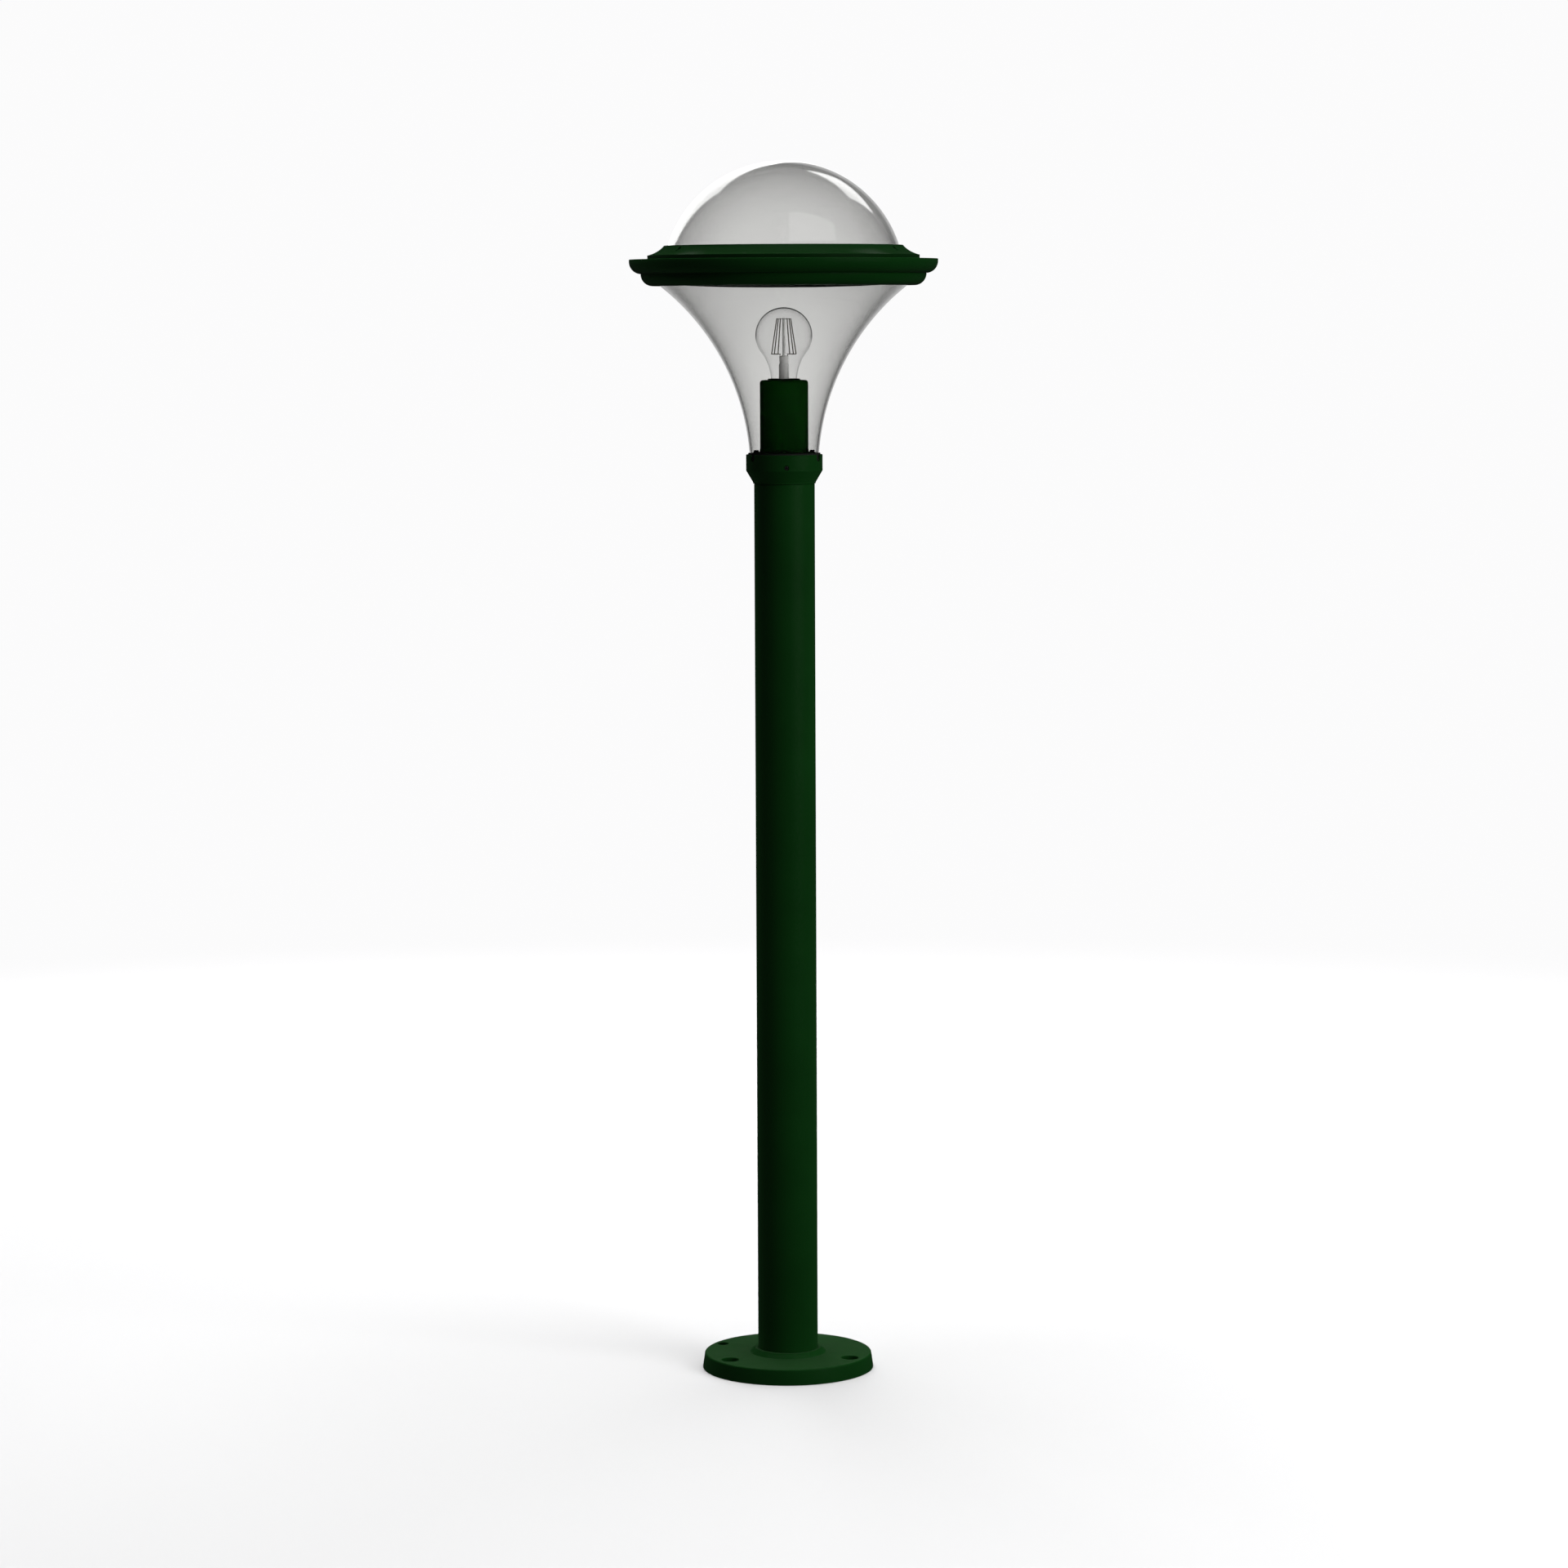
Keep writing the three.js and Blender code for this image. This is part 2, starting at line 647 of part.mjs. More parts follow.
add('terminal_tray', terminalTray(), 'zincSteel');
add('terminal_block', terminalBlock(), 'whiteNylon');
[-1, 1].forEach((side, i) => {
  const screw = headedScrew(smallScrewRadius, smallHeadRadius, -trayBack, -blockFront + gap, smallHeadHeight);
  add(`terminal_screw_${i + 1}`, radial(screw, -90, blockScrewHeight).translate(side * blockScrewOffset, 0, 0),
    'zincSteel');
});
add('earth_screw', radial(
  headedScrew(collarScrewRadius, 3.6, -trayBack - 3, -trayFace + gap, 2.2), -90, earthScrewHeight,
), 'brass');
add('lead_live', lead(-1), 'brownInsulation');
add('lead_neutral', lead(1), 'blueInsulation');

// Trumpet and its seal -------------------------------------------------------------------------

function flareArc(radius, fromDegrees, toDegrees, steps) {
  const points = [];
  for (let i = 0; i <= steps; i += 1) {
    points.push(onFlare(radius, fromDegrees + ((toDegrees - fromDegrees) * i) / steps));
  }
  return points;
}

const flareSteps = 10;
add('trumpet', turned([
  ...flareArc(flareRadius, 0, flareEnd, flareSteps),
  ...flareArc(flareRadius + trumpetWall, flareEnd, 0, flareSteps),
], ringSides), 'clearAcrylic');

add('trumpet_seal', turned([
  ...flareArc(flareRadius - gap - seatGapWall, seatStart + 0.2, flareEnd - 0.1, 2),
  ...flareArc(flareRadius - gap, flareEnd - 0.1, seatStart + 0.2, 2),
], ringSides), 'blackRubber');

// Gallery ring ---------------------------------------------------------------------------------

const crownScrewHole = smallScrewRadius + holeClearance;

function galleryRing() {
  const upperCentre = at(galleryRadius - upperRound, galleryTop - galleryEdge);
  const lowerTop = galleryBottom + lowerRound;
  const lowerCentre = galleryRadius - upperRound + 0.6 - lowerRound;
  const outline = [
    ...flareArc(seatRadius, seatEnd, seatStart, 3),
    ...arc(lowerCentre, lowerTop, lowerRound, -90, 0, 5),
    at(lowerCentre + lowerRound, upperCentre.y - upperRound),
    ...arc(upperCentre.x, upperCentre.y, upperRound, -84, 0, 5),
    at(galleryRadius, galleryTop),
    at(rebateRadius, galleryTop),
    at(rebateRadius, rebateFloor),
    at(seatTop.x, rebateFloor),
  ];
  const holes = neckScrewAngles.map((angle) => aroundAxis(
    rod(crownScrewHole, rebateFloor - 7, rebateFloor + 1), crownScrewCircle, angle,
  ));
  return cut(turned(outline, ringSides), ...holes);
}

add('gallery_ring', galleryRing(), 'greenPaint');

// Crown ring, its screws, the dome's seal and screws -------------------------------------------

const crownHeadRadius = 2.7;
const crownHeadDepth = 2.4;
const domeScrewHeight = crownTop - domeScrewDrop;

function crownRing() {
  const cove = new THREE.QuadraticBezierCurve(
    at(crownEdgeRadius, coveBottom),
    at(crownTopRadius + (crownEdgeRadius - crownTopRadius) * 0.35, coveBottom + covedHeight * 0.28),
    at(crownTopRadius, crownTop),
  );
  const outline = [
    at(skirtInner, crownFlangeBottom - crownSkirtLength),
    at(skirtOuter, crownFlangeBottom - crownSkirtLength),
    at(skirtOuter, crownFlangeBottom),
    at(crownFlangeRadius, crownFlangeBottom),
    at(crownFlangeRadius, crownBase),
    at(crownEdgeRadius, crownBase),
    ...cove.getPoints(5),
    at(domeBoreRadius, crownTop),
    at(domeBoreRadius, ledgeTop),
    at(ledgeInner, ledgeTop),
    at(ledgeInner, ledgeTop - domeLedgeThickness),
    at(skirtInner, crownFlangeBottom),
  ];
  const screwHoles = neckScrewAngles.map((angle) => aroundAxis(joined(
    rod(crownScrewHole, crownFlangeBottom - 1, crownBase + 1),
    rod(crownHeadRadius + holeClearance, crownBase - crownHeadDepth, crownBase + 1),
  ), crownScrewCircle, angle));
  const domeHoles = holeAngles.map((angle) => crossHole(
    angle, domeScrewHeight, domeScrewRadius + holeClearance, domeBoreRadius - 1, crownEdgeRadius,
  ));
  return cut(turned(outline, ringSides), ...screwHoles, ...domeHoles);
}

add('crown_ring', crownRing(), 'greenPaint');
neckScrewAngles.forEach((angle, i) => {
  const underHead = crownBase - crownHeadDepth + gap;
  const screw = headedScrew(smallScrewRadius, crownHeadRadius, underHead - crownScrewLength, underHead, 1.9);
  add(`crown_screw_${i + 1}`, aroundAxis(screw, crownScrewCircle, angle), 'stainlessSteel');
});
add('dome_seal', ring(ledgeInner + 0.5, domeBoreRadius - 1.0, ledgeTop + gap, domeSealTop, ringSides), 'blackRubber');
holeAngles.forEach((angle, i) => {
  const tip = domeNeckRadius + gap;
  add(`dome_screw_${i + 1}`, radial(grubScrew(domeScrewRadius, tip, tip + domeScrewLength), angle, domeScrewHeight),
    'stainlessSteel');
});

// Dome -----------------------------------------------------------------------------------------

function dome() {
  const innerNeck = domeNeckRadius - domeWall;
  const innerRadius = domeRadius - domeWall;
  const springing = THREE.MathUtils.radToDeg(Math.acos(domeNeckRadius / domeRadius));
  const innerSpringing = THREE.MathUtils.radToDeg(Math.acos(innerNeck / innerRadius));
  const outer = arc(0, domeCentre, domeRadius, springing, 90, 9);
  const inner = arc(0, domeCentre, innerRadius, 90, innerSpringing, 8);
  outer[outer.length - 1].setX(0);
  inner[0].setX(0);
  return turned([at(innerNeck, domeBottom), at(domeNeckRadius, domeBottom), ...outer, ...inner], ringSides);
}

add('dome', dome(), 'clearAcrylic');

// Bulb -----------------------------------------------------------------------------------------

const hubRadius = 2.6;

function bulbGlobe() {
  const foot = capTop - 5;
  const springing = -38;
  const profile = (wall) => {
    const radius = globeRadius - wall;
    const sphere = arc(0, globeCentre, radius, springing, 90, 7);
    sphere[sphere.length - 1].setX(0);
    const neck = new THREE.CubicBezierCurve(
      at(bulbNeckRadius - wall, capTop + 2),
      at(bulbNeckRadius - wall + 0.6, capTop + 13),
      at(sphere[0].x - 6.2, sphere[0].y - 8),
      sphere[0],
    ).getPoints(4).slice(0, -1);
    return [at(bulbNeckRadius - wall, foot), ...neck, ...sphere];
  };
  return turned([...profile(0), ...profile(glassWall).reverse()], 24);
}

function bulbStem() {
  const rodRadius = 1.4;
  return turned([
    at(0, capTop - 3),
    at(stemGlassRadius, capTop - 3),
    at(stemGlassRadius, stemGlassTop - 9),
    at(stemGlassRadius - 0.8, stemGlassTop - 6.5),
    at(stemGlassRadius - 0.5, stemGlassTop - 5),
    at(stemGlassRadius - 0.5, stemGlassTop),
    at(rodRadius, stemGlassTop + 0.6),
    at(rodRadius, cageTop + 0.6),
    at(0, cageTop + 0.9),
  ], smallSides);
}

// One half: three strands on a curved lower wire, a leg into the stem, and arms from the hub
function cageHalf(middle) {
  const wire = 0.45;
  const legRadius = stemGlassRadius - 1.1;
  const low = new THREE.Vector2(cageBottomRadius, cageBottom);
  const high = new THREE.Vector2(cageTopRadius, cageTop);
  const lean = Math.atan2(cageBottomRadius - cageTopRadius, cageHeight);
  const pieces = [
    new THREE.CylinderGeometry(wire, wire, cageBottomRadius - legRadius + 0.3, 5)
      .rotateZ(Math.PI / 2)
      .translate((cageBottomRadius + legRadius - 0.3) / 2, 0, cageBottom),
    rod(wire, stemGlassTop + gap, cageBottom + 0.2, 5).translate(legRadius, 0, 0),
  ];
  [-strandSpread, 0, strandSpread].forEach((degrees) => {
    const angle = THREE.MathUtils.degToRad(degrees);
    pieces.push(new THREE.CylinderGeometry(filamentRadius, filamentRadius, low.distanceTo(high) + filamentRadius, 5)
      .rotateX(Math.PI / 2)
      .rotateY(-lean)
      .translate((low.x + high.x) / 2, 0, (low.y + high.y) / 2)
      .rotateZ(angle));
    pieces.push(new THREE.CylinderGeometry(wire, wire, cageTopRadius - hubRadius + 0.5, 4)
      .rotateZ(Math.PI / 2)
      .translate((cageTopRadius + hubRadius - 0.5) / 2, 0, cageTop)
      .rotateZ(angle));
  });
  return joined(...pieces).rotateZ(THREE.MathUtils.degToRad(middle));
}

function filamentCage() {
  const hub = ring(hubRadius - 0.9, hubRadius, cageTop - 0.5, cageTop + 0.5, 8);
  const hoop = new THREE.TorusGeometry(cageBottomRadius, filamentRadius * 0.8, 4, 24).translate(0, 0, cageBottom);
  const opening = cageBottomRadius * Math.cos(THREE.MathUtils.degToRad(cageHalfArc));
  const slot = box([-opening, -2 * cageBottomRadius, cageBottom - 2], [opening, 2 * cageBottomRadius, cageBottom + 2])
    .rotateZ(THREE.MathUtils.degToRad(cageTurn));
  return joined(cut(hoop, slot), cageHalf(cageTurn), cageHalf(cageTurn + 180), hub);
}

add('bulb_cap', turned([
  at(7, capBottom),
  at(capRadius - 1, capBottom),
  at(capRadius, capBottom + 1),
  at(capRadius, capTop),
  at(capRadius - capWall, capTop),
  at(capRadius - capWall, capBottom + capWall + 0.8),
  at(7, capBottom + capWall),
], tubeSides), 'zincSteel');
add('bulb_insulator', turned([
  at(0, capBottom - 2.8),
  at(5.2, capBottom - 2.8),
  at(capRadius - 1.6, capBottom - gap),
  at(0, capBottom - gap),
], smallSides), 'blackPhenolic');
add('bulb_tip', turned([
  at(0, capBottom - 4.6),
  at(2.6, capBottom - 4.4),
  at(4.4, capBottom - 3.1),
  at(0, capBottom - 3.1),
], smallSides), 'zincSteel');
add('bulb_globe', bulbGlobe(), 'clearGlass');
add('bulb_stem', bulbStem(), 'clearGlass');
add('filament_cage', filamentCage(), 'yellowFilament');

export default lamp;
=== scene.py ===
import math
import bmesh
import bpy
from mathutils import Matrix, Vector


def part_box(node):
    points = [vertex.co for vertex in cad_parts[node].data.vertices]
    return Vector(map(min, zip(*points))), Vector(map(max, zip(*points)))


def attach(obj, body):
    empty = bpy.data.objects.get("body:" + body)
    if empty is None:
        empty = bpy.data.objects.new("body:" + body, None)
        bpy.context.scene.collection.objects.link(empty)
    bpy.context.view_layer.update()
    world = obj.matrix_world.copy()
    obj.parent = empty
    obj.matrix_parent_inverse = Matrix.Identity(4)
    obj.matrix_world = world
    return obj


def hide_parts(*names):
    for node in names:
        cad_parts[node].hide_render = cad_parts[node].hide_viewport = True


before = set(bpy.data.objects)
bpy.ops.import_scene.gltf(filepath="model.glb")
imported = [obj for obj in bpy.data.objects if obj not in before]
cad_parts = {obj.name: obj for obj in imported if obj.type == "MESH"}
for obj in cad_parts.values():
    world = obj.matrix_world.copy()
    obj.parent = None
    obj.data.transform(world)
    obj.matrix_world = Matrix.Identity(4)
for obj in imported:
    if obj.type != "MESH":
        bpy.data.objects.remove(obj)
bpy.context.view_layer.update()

# Cast foot. A sand-cast disc with a machined underside and a raised boss that the post drops into.
# Three plain holes take the ground bolts, and a smaller one beside them takes the earth stud.


def reach(node):
    """A round CAD node's radius, underside and top, in millimetres."""
    low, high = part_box(node)
    return high.x * 1000, low.z * 1000, high.z * 1000


def softened(corners, steps=5):
    """A closed outline of (radius, height) points, from (radius, height, edge rounding) corners."""
    most = 0.48  # of a side, so that two roundings never meet
    nearly_straight = 3.1
    outline = []
    for i, (radius, height, rounding) in enumerate(corners):
        corner = Vector((radius, height))
        before = Vector(corners[i - 1][:2]) - corner
        after = Vector(corners[(i + 1) % len(corners)][:2]) - corner
        turn = before.angle(after, math.pi)
        if rounding <= 0 or turn > nearly_straight:
            outline.append((radius, height))
            continue
        cut = min(rounding / math.tan(turn / 2), most * before.length, most * after.length)
        start = corner + before.normalized() * cut
        end = corner + after.normalized() * cut
        for step in range(steps + 1):
            t = step / steps
            point = start * (1 - t) ** 2 + corner * 2 * t * (1 - t) + end * t ** 2
            outline.append((point.x, point.y))
    return outline


def arc(centre_radius, centre_height, radius, start, end, steps):
    """Points of a circular arc in the outline's plane, its angles in degrees."""
    angles = [math.radians(start + (end - start) * i / steps) for i in range(steps + 1)]
    return [(centre_radius + radius * math.cos(a), centre_height + radius * math.sin(a))
            for a in angles]


def piece_of(name, shape, crease=32):
    """A bmesh made in millimetres becomes a smooth-shaded object with crisp edges, in metres."""
    bmesh.ops.scale(shape, vec=(0.001, 0.001, 0.001), verts=shape.verts)
    bmesh.ops.recalc_face_normals(shape, faces=shape.faces)
    mesh = bpy.data.meshes.new(name)
    shape.to_mesh(mesh)
    shape.free()
    mesh.shade_smooth()
    mesh.set_sharp_from_angle(angle=math.radians(crease))
    piece = bpy.data.objects.new(name, mesh)
    bpy.context.scene.collection.objects.link(piece)
    return piece


def ring_of(shape, radii, height):
    """Adds vertices round the axis at equal angles, one for each radius."""
    angles = [2 * math.pi * i / len(radii) for i in range(len(radii))]
    return [shape.verts.new((radius * math.cos(a), radius * math.sin(a), height))
            for radius, a in zip(radii, angles)]


def skinned(name, shape, rings, crease):
    """A piece with faces from each ring of vertices to the next. A ring may be a single vertex."""
    for low, high in zip(rings, rings[1:]):
        sides = max(len(low), len(high))
        for i in range(sides if sides > 1 else 0):
            j = (i + 1) % sides
            corners = [low[i % len(low)], low[j % len(low)],
                       high[j % len(high)], high[i % len(high)]]
            shape.faces.new(list(dict.fromkeys(corners)))
    return piece_of(name, shape, crease)


def turned(name, outline, sides=180, crease=32):
    """A piece turned about the post's axis from a closed outline, or one that ends on the axis."""
    shape = bmesh.new()
    rings = [ring_of(shape, [radius] * (sides if radius > 1e-6 else 1), height)
             for radius, height in outline]
    return skinned(name, shape, rings + rings[:1], crease)


def placed(piece, turn=0.0, out=0.0, up=0.0, lay_flat=False):
    """Moves a piece made on the axis to its place, in degrees and millimetres, in its mesh."""
    outwards = Matrix.Translation((out / 1000, 0, up / 1000))
    place = Matrix.Rotation(math.radians(turn), 4, "Z") @ outwards
    if lay_flat:
        place = place @ Matrix.Rotation(math.pi / 2, 4, "Y")
    piece.data.transform(place)
    return piece


def applied(piece):
    """Keeps what a piece's modifiers make of it as its mesh, and drops the modifiers."""
    bpy.context.view_layer.update()
    result = piece.evaluated_get(bpy.context.evaluated_depsgraph_get())
    mesh = bpy.data.meshes.new_from_object(result)
    piece.modifiers.clear()
    piece.data = mesh
    return piece


def drilled(piece, cutters, crease=32):
    """Cuts the cutters out of a piece and removes them."""
    for cutter in cutters:
        hole = piece.modifiers.new("hole", "BOOLEAN")
        hole.object = cutter
        hole.solver = "EXACT"
    applied(piece)
    for cutter in cutters:
        bpy.data.objects.remove(cutter)
    piece.data.shade_smooth()
    piece.data.set_sharp_from_angle(angle=math.radians(crease))
    return piece


def drill(radius, bottom, top, break_edge=0.5):
    """A cutter for a hole whose edges are broken at both faces, made on the axis."""
    beyond = 2
    wide = radius + break_edge + beyond
    return turned("drill", [
        (0, bottom - beyond), (wide, bottom - beyond), (radius, bottom + break_edge),
        (radius, top - break_edge), (wide, top + beyond), (0, top + beyond),
    ], sides=48)


def node(tree, kind, *feeds, **settings):
    """Adds a node to a tree. Feeds go on its inputs in order, and settings on its properties or on
    its inputs by their labels. A socket is linked, and any other value is set."""
    made = tree.nodes.new(kind)
    given = list(enumerate(feeds))
    for key, value in settings.items():
        if hasattr(made, key):
            setattr(made, key, value)
        else:
            given.append((key.replace("_", " "), value))
    for place, value in given:
        if isinstance(value, bpy.types.NodeSocket):
            tree.links.new(value, made.inputs[place])
        elif value is not None:
            made.inputs[place].default_value = value
    return made


def ramp(tree, value, low, high, start, end, kind="LINEAR"):
    """A value mapped from one span onto another and held at its ends."""
    return node(tree, "ShaderNodeMapRange", value, low, high, start, end,
                interpolation_type=kind).outputs["Result"]


def maths(tree, operation, *values):
    """What a sum, a product or another operation makes of values."""
    return node(tree, "ShaderNodeMath", *values, operation=operation).outputs["Value"]


def scaled(tree, vector, factor):
    """A vector or a colour times a factor."""
    return node(tree, "ShaderNodeVectorMath", vector, Scale=factor,
                operation="SCALE").outputs["Vector"]


def noise(tree, size, detail, roughness):
    """Noise that stays with the object."""
    place = node(tree, "ShaderNodeTexCoord").outputs["Object"]
    return node(tree, "ShaderNodeTexNoise", Vector=place, Scale=size, Detail=detail,
                Roughness=roughness).outputs["Fac"]


def group(name, inputs, outputs=("Colour", "Roughness", "Height")):
    """A new shader node group, from its inputs' defaults and its outputs' labels, with what
    comes in through its inputs."""
    tree = bpy.data.node_groups.new(name, "ShaderNodeTree")
    kinds = {"Colour": "NodeSocketColor"}
    for label, default in inputs.items():
        socket = tree.interface.new_socket(label, in_out="INPUT",
                                           socket_type=kinds.get(label, "NodeSocketFloat"))
        socket.default_value = default
    for label in outputs:
        tree.interface.new_socket(label, in_out="OUTPUT",
                                  socket_type=kinds.get(label, "NodeSocketFloat"))
    return tree, tree.nodes.new("NodeGroupInput").outputs


# The coat that every painted piece has: powder paint with a fine orange peel, a slightly uneven
# colour where it lies thicker or thinner, and a little pale dust settled on faces that look up.
coat, coat_in = group("powder_coat", {
    "Colour": (0.005, 0.035, 0.007, 1), "Peel size": 700.0, "Casting size": 160.0,
    "Casting depth": 0.2, "Dust": 0.1, "Roughness": 0.45,
})
peel = noise(coat, coat_in["Peel size"], 2.0, 0.5)
casting = noise(coat, coat_in["Casting size"], 5.0, 0.6)
cloud = noise(coat, 14.0, 3.0, 0.55)
shaded = scaled(coat, coat_in["Colour"], ramp(coat, cloud, 0.3, 0.7, 0.86, 1.12))
outwards = node(coat, "ShaderNodeNewGeometry").outputs["Normal"]
upward = node(coat, "ShaderNodeSeparateXYZ", outwards).outputs["Z"]
patchy = maths(coat, "MULTIPLY", ramp(coat, upward, 0.75, 1.0, 0.0, 1.0), casting)
dusty = maths(coat, "MULTIPLY", patchy, coat_in["Dust"])
number_and_vector_inputs = [None] * 5
dust_mix = node(coat, "ShaderNodeMix", dusty, *number_and_vector_inputs, shaded,
                (0.1, 0.1, 0.09, 1), data_type="RGBA")
uneven = ramp(coat, cloud, 0.25, 0.75, -0.05, 0.05)
node(coat, "NodeGroupOutput", Colour=dust_mix.outputs[2],
     Roughness=maths(coat, "ADD", uneven, coat_in["Roughness"]),
     Height=maths(coat, "MULTIPLY_ADD", casting, coat_in["Casting depth"], peel))


def material(name, skin, values, bump, sockets):
    """A material with one skin group on its surface, raised by its bump in millimetres. Plain
    values go straight on the shader's sockets."""
    made = bpy.data.materials.new(name)
    made.use_nodes = True
    tree = made.node_tree
    shader = tree.nodes["Principled BSDF"]
    for label, value in sockets.items():
        shader.inputs[label].default_value = value
    surface = node(tree, "ShaderNodeGroup", node_tree=skin, **values)
    tree.links.new(surface.outputs["Colour"], shader.inputs["Base Color"])
    if "Roughness" in surface.outputs:
        tree.links.new(surface.outputs["Roughness"], shader.inputs["Roughness"])
    if bump > 0:
        raised = node(tree, "ShaderNodeBump", Strength=1.0, Distance=bump / 1000,
                      Height=surface.outputs["Height"])
        tree.links.new(raised.outputs["Normal"], shader.inputs["Normal"])
    return made


def cast_paint(name, colour, depth, dust):
    """The coat as it lies on a casting."""
    return material(name, coat, {
        "Colour": colour, "Peel size": 620.0, "Casting size": 150.0,
        "Casting depth": depth, "Dust": dust, "Roughness": 0.46,
    }, 0.05, {"Specular IOR Level": 0.3})


def dressed(piece, paint):
    """Gives a piece one material in place of those it has."""
    piece.data.materials.clear()
    piece.data.materials.append(paint)


def finished(piece, paint, body, slot, *replaced):
    """Gives a piece its finish, the CAD body it moves with and the CAD nodes it stands for."""
    dressed(piece, paint)
    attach(piece, body)
    if replaced:
        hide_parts(*replaced)
    return piece


cast_green = cast_paint("cast_green_paint", (0.0031, 0.0318, 0.0043, 1), 0.5, 0.12)

one_behind = (90, 210, 330)  # turns in degrees for three of a thing
one_in_front = (30, 150, 270)
back_pair = (45, 135)

foot_radius, foot_bottom, foot_top = reach("base_flange")
plate_top = foot_top - 4.6
cable_entry = 12.0
post_socket = 30.3
socket_floor = foot_bottom + 5.0
foot = turned("cast_foot", softened([
    (cable_entry, foot_bottom, 0.3),
    (foot_radius, foot_bottom, 0.5),
    (foot_radius - 2.2, plate_top, 2.0),
    (38.0, plate_top, 1.6),
    (33.2, foot_top, 0.9),
    (post_socket, foot_top, 0.2),
    (post_socket, socket_floor, 0.2),
    (cable_entry, socket_floor, 0.4),
]), sides=240)
bolt_holes = [placed(drill(8.7, foot_bottom, plate_top), turn, foot_radius - 16.7)
              for turn in one_behind]
earth_hole = placed(drill(5.6, foot_bottom, plate_top), 150, foot_radius - 12.0)
drilled(foot, [*bolt_holes, earth_hole])
finished(foot, cast_green, "post", "paint_green", "base_flange")

# Post. Drawn 60 mm tube cut square, its ends broken, powder coated before it drops into the foot.
# Two screws at the back, near the top, hold the collar in it.


def tube_paint(name, colour, roughness, specular):
    """The coat as it lies on smooth drawn tube."""
    return material(name, coat, {
        "Colour": colour, "Peel size": 820.0, "Casting size": 90.0,
        "Casting depth": 0.12, "Dust": 0.0, "Roughness": roughness,
    }, 0.03, {"Specular IOR Level": specular})


tube_green = tube_paint("tube_green_paint", (0.0031, 0.0318, 0.0043, 1), 0.43, 0.3)

post_radius, post_bottom, post_top = reach("pole_tube")
post_bore = post_radius - 3.0
post = turned("post_tube", softened([
    (post_bore, post_bottom, 0.3),
    (post_radius, post_bottom, 0.4),
    (post_radius, post_top, 0.5),
    (post_bore, post_top, 0.3),
]), sides=200)


def cross_holes(radius, start, end, break_edge, turns, height):
    """Cutters for level holes that run outwards from the axis."""
    return [placed(drill(radius, start, end, break_edge), turn, 0, height, lay_flat=True)
            for turn in turns]


screw_height = post_top - 14.0
drilled(post, cross_holes(2.35, 20, post_radius, 0.2, back_pair, screw_height))
finished(post, tube_green, "post", "paint_green", "pole_tube")

# Collar. A small casting with a spigot that plugs the post, a cone, and a cup that holds the
# trumpet's neck. Three notches in its rim let rain out, and three grub screws sit between them.

collar_radius, collar_bottom, collar_top = reach("neck_collar")
cone_top = collar_top - 15.9
shoulder = cone_top - 12.8
collar_bore, spigot, ring_groove, cup_bore, plate_seat = 22.9, 26.7, 24.8, 36.03, 31.2
cup_floor = cone_top - 1.0
seat_height = collar_top - 0.9
collar = turned("cast_collar", softened([
    (collar_bore, collar_bottom, 0.3),
    (spigot, collar_bottom, 0.8),
    (spigot, collar_bottom + 5.6, 0.1),
    (ring_groove, collar_bottom + 5.6, 0.1),
    (ring_groove, collar_bottom + 7.8, 0.1),
    (spigot, collar_bottom + 7.8, 0.1),
    (spigot, shoulder, 0.2),
    (post_radius + 1.0, shoulder, 0.35),
    (post_radius + 1.0, shoulder + 1.2, 0.5),
    (collar_radius, cone_top, 1.0),
    (collar_radius, collar_top, 0.8),
    (cup_bore, collar_top, 0.4),
    (cup_bore, cup_floor, 0.5),
    (plate_seat, cup_floor, 0.5),
    (plate_seat, seat_height, 0.4),
    (collar_bore, seat_height, 0.4),
]), sides=200)


def notch_cutter(turn):
    """A U-shaped slot through the cup's wall, open at the top."""
    shape = bmesh.new()
    half = 3.6
    open_end = 12.0
    centre = collar_top - 7.0 + half
    outline = [(half, open_end), (-half, open_end)]
    outline += [(half * math.cos(math.radians(a)), half * math.sin(math.radians(a)))
                for a in range(180, 361, 12)]
    ends = [[shape.verts.new((x, y, z + centre)) for y, z in outline] for x in (33.0, 41.0)]
    shape.faces.new(ends[0])
    shape.faces.new(ends[1])
    for i in range(len(outline)):
        j = (i + 1) % len(outline)
        shape.faces.new([ends[0][i], ends[0][j], ends[1][j], ends[1][i]])
    return placed(piece_of("notch_cutter", shape), turn)


neck_screw_height = cone_top + 3.4
drilled(collar, [notch_cutter(turn) for turn in one_behind]
        + cross_holes(2.35, 33, collar_radius, 0.25, one_in_front, neck_screw_height)
        + cross_holes(2.35, 20, spigot, 0.1, back_pair, screw_height))
finished(collar, cast_green, "post", "paint_green", "neck_collar")

# Gaskets and bush. Moulded black rubber: the neck gasket takes up the space between cup and
# trumpet, two seals sit under the trumpet's mouth and the dome, an O-ring seals the spigot, and the
# bush lines the cable entry.

moulded, moulded_in = group("moulded_skin", {
    "Colour": (0.02, 0.02, 0.02, 1), "Grain size": 900.0, "Roughness": 0.6,
})
grain = noise(moulded, moulded_in["Grain size"], 4.0, 0.6)
tone = ramp(moulded, grain, 0.3, 0.7, 0.85, 1.15)
node(moulded, "NodeGroupOutput", Colour=scaled(moulded, moulded_in["Colour"], tone),
     Roughness=maths(moulded, "MULTIPLY", tone, moulded_in["Roughness"]), Height=grain)


def moulding(name, colour, grain_size, roughness, bump, **sockets):
    """A material with the moulded skin."""
    return material(name, moulded, {
        "Colour": (*colour, 1), "Grain size": grain_size, "Roughness": roughness,
    }, bump, {label.replace("_", " "): value for label, value in sockets.items()})


